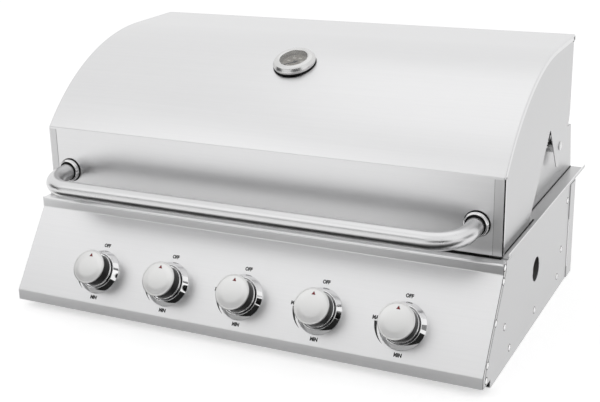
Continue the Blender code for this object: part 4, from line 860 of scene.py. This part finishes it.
class GRILL_OT_seams(bpy.types.Operator):
    """Makes the narrow trim of the sheets: corner strips, black lines of painted shadow in seams and gaps, ledges, and
    chrome edge beads and hems that paint a highlight
    """

    bl_idname = "grill.seams"
    bl_label = "Seams and edge trim"

    def execute(self, context):
        bend = context.scene.grill_sizes.sheet_bend
        half = HOOD_HIGH.x
        front = HOOD_LOW.y - 0.0003
        bend_z = HOOD_ARC_Z + math.sqrt(HOOD_ARC_RADIUS**2 - (HOOD_ARC_Y - HOOD_LOW.y) ** 2) - bend
        strip_low, strip_high = HOOD_LOW.z + 0.0006, bend_z - 0.001
        panel_low, panel_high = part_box("control_panel")
        wall = panel_high.x
        line = np.array([(LIP_Y, panel_low.z + bend), (LIP_Y, LIP_TOP), (LIP_Y + SLOPE_RUN, STRIP_FOOT),
                         (LIP_Y + SLOPE_RUN, panel_high.z)])
        ledge_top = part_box("rear_ledge")[1].z
        plate_low, plate_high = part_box("hinge_plate_right")
        # A thin black curved strip round each front corner of the hood: partly the seam there, partly painted shadow in
        # it.
        turn = np.radians(np.linspace(38, 90, 9))
        arc = np.stack([np.sin(turn), -np.cos(turn)], -1)
        middle = np.array((half - bend, HOOD_LOW.y + bend))
        outer, inner = middle + (bend + 0.00012) * arc, middle + (bend - 0.0003) * arc
        fold = np.vstack([outer, outer[-1:] + (0, 0.0012), inner[-1:] + (0, 0.0012), inner[::-1]])
        strips, strip_edge_shadows, corner_seam_shadows, panel_seam_shadows, gap_shadows = [], [], [], [], []
        for side, _ in SIDES:
            near, far = side * (half - bend - 0.0002), side * (half - CORNER_STRIP)
            strips.append(slab((near, front, strip_low), (far, front + 0.0005, strip_high)))
            # A thin grey slab at the inner side of each corner strip: a painted shadow line along its edge.
            far = side * (half - CORNER_STRIP - 0.0006)
            near = far + side * 0.0006
            strip_edge_shadows.append(slab((far, front + 0.0002, strip_low), (near, front + 0.0004, strip_high)))
            corner_seam_shadows.append(prism(fold * (side, 1), HOOD_LOW.z + 0.0004, bend_z))
            # Two dark strips at each end of the control panel: painted shadow in its joint with the side panel.
            low, high = sorted((side * (wall - 0.0004), side * (wall + 0.00015)))
            for near, far in ((0.0006, 0.0034), (0.0138, 0.0150)):
                panel_seam_shadows.append(strip_between(line + (near, 0), line + (far, 0), low, high))
            # Black strips along the hood's end feet and the hinge plates' feet, made as black gasket strips: painted
            # shadow in the gaps.
            gap_shadows.append(slab(
                (side * (half - 0.0030), HOOD_LOW.y + 0.0012, ledge_top + 0.0003),
                (side * (half - 0.0006), HOOD_HIGH.y - 0.2250, HOOD_LOW.z - 0.0001),
            ))
            gap_shadows.append(slab(
                (side * (plate_high.x + 0.0001), plate_low.y + 0.0100, ledge_top + 0.0002),
                (side * (plate_high.x + 0.0009), plate_high.y - 0.0010, ledge_top + 0.0013),
            ))
        # Black strips under and in front of the hood's front foot: painted shadow in the gap there.
        for near, far, low, high in (
            (HOOD_LOW.y + 0.0002, HOOD_LOW.y + 0.0040, panel_high.z + 0.0002, HOOD_LOW.z - 0.0001),
            (HOOD_LOW.y - 0.0042, HOOD_LOW.y + 0.0010, panel_high.z + 0.0001, panel_high.z + 0.0008),
        ):
            gap_shadows.append(slab((-half + 0.0008, near, low), (half - 0.0008, far, high)))
        for name, shapes, look, body, slot, sharp in (
            ("hood_corner_strips", strips, "corner sheet", "hood", "hood_skin", 20),
            ("hood_corner_seam_shadows", corner_seam_shadows, "black gasket", "hood", "hood_skin", 30),
            ("hood_strip_edge_shadows", strip_edge_shadows, "strip edge", "hood", "hood_skin", 20),
            ("panel_end_seam_shadows", panel_seam_shadows, "seam", "base", "control_panel", 20),
            ("hood_rest_gap_shadows", gap_shadows, "black gasket", "base", "firebox", 20),
        ):
            piece(name, together(shapes), look, body, sharp=sharp)
        # The rear edge beads and the ledge hems are the sheets' own edges in the brighter chrome finish: a painted
        # highlight along them.
        hem = 0.0007
        bead = [(0, 0.022), (hem, 0.022), (hem, 0.112), (0, 0.112)]
        bead_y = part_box("rear_panel")[1].y - 0.0353
        beads = [revolved(bead, (side * (wall + hem), bead_y, 0), (0, 0, 1), sides=16) for side, _ in SIDES]
        piece("rear_edge_beads", together(beads), "chrome", "base")
        low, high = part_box("side_ledge_right")
        line = filleted([(low.x, low.z), (high.x, low.z), (high.x, high.z - hem)], [bend], steps=6)
        for side, label in SIDES:
            points = np.stack([np.insert(line * (side, 1), 1, depth, axis=1) for depth in (low.y, high.y)])
            piece(
                f"side_ledge_sheet_{label}", grid_surface(points), "ledge sheet", "base", inside=(0, 0, 0.5),
                thickness=SHEET, replaces=(f"side_ledge_{label}",),
            )
            rod = [(side * (high.x - hem), depth, high.z - hem) for depth in (low.y + 0.0002, high.y - 0.0002)]
            piece(f"side_ledge_hem_{label}", tube(rod, hem, X_AXIS, sides=16), "chrome", "base")
        return {"FINISHED"}


class GRILL_OT_side_screws(bpy.types.Operator):
    """Makes the domed screws along the edges of both side panels, with a black ring of painted shadow under each"""

    bl_idname = "grill.side_screws"
    bl_label = "Side screws"

    def execute(self, context):
        radius = context.scene.grill_sizes.screw_radius
        places = [
            (0.0950, 0.1685), (0.0895, 0.1490), (0.0570, 0.0960), (0.1050, 0.0700), (0.0220, 0.0450), (0.0180, 0.0225),
            (0.1370, 0.0225), (0.2840, 0.0250), (0.4360, 0.0270), (0.4570, 0.0710), (0.4885, 0.1510),
        ]
        head = filleted([(0, -0.0002), (radius, -0.0002), (radius, 0.0004), (0, 0.0020)], [0.0, 0.0014], steps=8)
        head *= (1, 0.7)
        # A black ring under each screw head, wider than the head: painted shadow round it.
        shadow_washer = [(0, -0.0002), (radius + 0.0010, -0.0002), (radius + 0.0010, 0.00012), (0, 0.00012)]
        for side, label in SIDES:
            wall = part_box(f"side_panel_{label}")[1 if side > 0 else 0].x
            spots = [(wall, LIP_Y + depth, height) for depth, height in places]
            for kind, profile, look in (("screws", head, "screw head"), ("screw_shadow_rims", shadow_washer, "black gasket")):
                heads = [revolved(profile, spot, (side, 0, 0), sides=28) for spot in spots]
                piece(f"side_{kind}_{label}", together(heads), look, "base")
        return {"FINISHED"}


class GRILL_OT_solid_finishes(bpy.types.Operator):
    """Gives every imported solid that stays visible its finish"""

    bl_idname = "grill.solid_finishes"
    bl_label = "Finishes of the other solids"

    def execute(self, context):
        looks = {
            "side sheet": ("side_panel",),
            "back sheet": ("rear_panel", "rear_baffle"),
            "ledge sheet": ("rear_ledge",),
            "hood end sheet": ("hood_end", "hinge_plate"),
            "hinge pin": ("hinge_pin",),
            "inner sheet": ("firebox", "grease_tray", "flame_tamer"),
            "burner steel": ("burner",),
            "cast iron grate": ("cooking_grate",),
            "rack wire": ("warming_rack",),
            "gas pipe": ("gas_manifold",),
            "valve brass": ("valve_",),
        }
        for name, target in frame["nodes"].items():
            if target.hide_render or name.startswith(("valve_stem", "thermometer_needle")):
                continue
            match = [look for look, starts in looks.items() if name.startswith(starts)]
            if not match:
                raise RuntimeError(f"no finish for {name}")
            dress(name, match[0])
        return {"FINISHED"}


# Studio


def seen_directly(tree):
    """A level of 1 where the camera, a mirror or a glass sees the surface, and 0 elsewhere."""
    rays = node(tree, "ShaderNodeLightPath")
    level = rays.outputs["Is Camera Ray"]
    for label in ("Is Glossy Ray", "Is Transmission Ray"):
        most = node(tree, "ShaderNodeMath", operation="MAXIMUM")
        wire(tree, (level, most.inputs[0]), (rays.outputs[label], most.inputs[1]))
        level = most.outputs[0]
    return level


def studio_plane(name, centre, right, up, tone, glow=0.0):
    """A flat studio surface from its middle and its two half sides. A glow is added where it is seen directly."""
    made, tree, shader, _ = blank(name, roughness=0.9)
    shader.inputs["Base Color"].default_value = (*tone, 1)
    shader.inputs["Specular IOR Level"].default_value = 0.0
    if glow:
        level = node(tree, "ShaderNodeMath", operation="MULTIPLY", in_1=glow)
        shader.inputs["Emission Color"].default_value = (1, 1, 1, 1)
        wire(tree, (seen_directly(tree), level.inputs[0]), (level.outputs[0], shader.inputs["Emission Strength"]))
    centre, right, up = Vector(centre), Vector(right), Vector(up)
    corners = [centre - right - up, centre + right - up, centre + right + up, centre - right + up]
    mesh = bpy.data.meshes.new(name)
    mesh.from_pydata([corner[:] for corner in corners], [], [(0, 1, 2, 3)])
    mesh.materials.append(made)
    plane = bpy.data.objects.new(name, mesh)
    bpy.context.scene.collection.objects.link(plane)
    return plane


class GRILL_OT_stage(bpy.types.Operator):
    """Sets up the camera, the pale floor, the flags, dark floor cards of painted shade that only reflections see, the
    lamps and the white surroundings
    """

    bl_idname = "grill.stage"
    bl_label = "Studio"

    def execute(self, context):
        scene = context.scene
        lens = bpy.data.cameras.new("Camera")
        lens.sensor_width = 36.0
        lens.lens = CAMERA_LENS
        camera = bpy.data.objects.new("Camera", lens)
        turn = Matrix((CAMERA_RIGHT, CAMERA_UP, CAMERA_BACK)).transposed().to_4x4()
        camera.matrix_world = Matrix.Translation(CAMERA_PLACE) @ turn
        scene.collection.objects.link(camera)
        scene.camera = camera
        studio_plane(
            "studio_floor", (0, 0, -0.0005), (9, 0, 0), (0, 9, 0), tuple(scene.grill_colours.floor), glow=FLOOR_GLOW
        )
        for name, centre, right, up, tone in (
            ("studio_flag_front", (1.9, -3.9, 1.25), (1.8, 0.9, 0), (0, 0, 0.75), 0.03),
            ("studio_flag_left", (-3.4, -1.6, 0.75), (-0.6, 1.2, 0), (0, 0, 0.6), 0.03),
            ("studio_flag_right", (3.6, 0.6, 0.75), (0, 1.0, 0), (0, 0, 0.6), 0.40),
            ("studio_flag_high", (-1.75, -3.3, 2.00), (1.5, 0, 0), (0, 0, 0.50), 0.25),
            # The three cards lying low in front of the grill are seen only in reflections: painted shade of the floor
            # in front of it.
            ("studio_floor_shade_near", (0.5, -0.4380, 0.034), (1.15, 0, 0), (0, 0.1250, 0), 0.03),
            ("studio_floor_shade_lip", (0.1, -0.3575, 0.001), (1.1, 0, 0), (0, 0.0525, 0), 0.74),
            ("studio_floor_shade_right", (0.9, -0.77, 0.001), (0.78, 0, 0), (0, 0.27, 0), 0.35),
        ):
            flag = studio_plane(name, centre, right, up, (tone, tone, tone))
            flag.visible_camera = flag.visible_diffuse = flag.visible_shadow = False
        aim = Vector((0, 0, 0.2))
        for name, place, size, power in (
            ("Key", (-1.6, -2.4, 2.6), 2.4, 5.0),
            ("Fill", (2.6, -1.2, 2.0), 2.0, 1.5),
            ("Top", (0.0, 0.6, 3.0), 2.6, 4.0),
        ):
            lamp = bpy.data.lights.new(name, "AREA")
            lamp.shape = "SQUARE"
            lamp.size = size
            lamp.energy = power
            holder = bpy.data.objects.new(name, lamp)
            holder.location = place
            holder.rotation_euler = (aim - Vector(place)).to_track_quat("-Z", "Y").to_euler()
            scene.collection.objects.link(holder)
        world = bpy.data.worlds.new("Studio surroundings")
        scene.world = world
        world.use_nodes = True
        tree = world.node_tree
        level = node(tree, "ShaderNodeMapRange", in_3=ROOM_LIGHT, in_4=1.0)
        background = tree.nodes["Background"]
        background.inputs["Color"].default_value = (1, 1, 1, 1)
        wire(tree, (seen_directly(tree), level.inputs[0]), (level.outputs[0], background.inputs["Strength"]))
        scene.view_settings.view_transform = "Standard"
        return {"FINISHED"}


PIECES = (
    GRILL_OT_hood, GRILL_OT_handle, GRILL_OT_thermometer, GRILL_OT_control_panel, GRILL_OT_knobs, GRILL_OT_seams,
    GRILL_OT_side_screws, GRILL_OT_solid_finishes, GRILL_OT_stage,
)


class GRILL_PT_panel(bpy.types.Panel):
    """Lists the grill's sizes, colours and pieces"""

    bl_idname = "GRILL_PT_panel"
    bl_label = "Built-in gas grill"
    bl_space_type = "VIEW_3D"
    bl_region_type = "UI"
    bl_category = "Grill"

    def draw(self, context):
        for group in (context.scene.grill_sizes, context.scene.grill_colours):
            box = self.layout.box()
            for key in group.__annotations__:
                box.prop(group, key)
        for operator in PIECES:
            self.layout.operator(operator.bl_idname)


CLASSES = (GrillSizes, GrillColours, *PIECES, GRILL_PT_panel)


def register():
    for item in CLASSES:
        bpy.utils.register_class(item)
    bpy.types.Scene.grill_sizes = bpy.props.PointerProperty(type=GrillSizes)
    bpy.types.Scene.grill_colours = bpy.props.PointerProperty(type=GrillColours)


def unregister():
    del bpy.types.Scene.grill_colours
    del bpy.types.Scene.grill_sizes
    for item in reversed(CLASSES):
        bpy.utils.unregister_class(item)


def main():
    """Makes every piece in turn."""
    register()
    bpy.ops.grill.stage()
    bpy.ops.grill.hood()
    bpy.ops.grill.handle()
    bpy.ops.grill.thermometer()
    bpy.ops.grill.control_panel()
    bpy.ops.grill.knobs()
    bpy.ops.grill.seams()
    bpy.ops.grill.side_screws()
    bpy.ops.grill.solid_finishes()


if __name__ == "__main__":
    main()
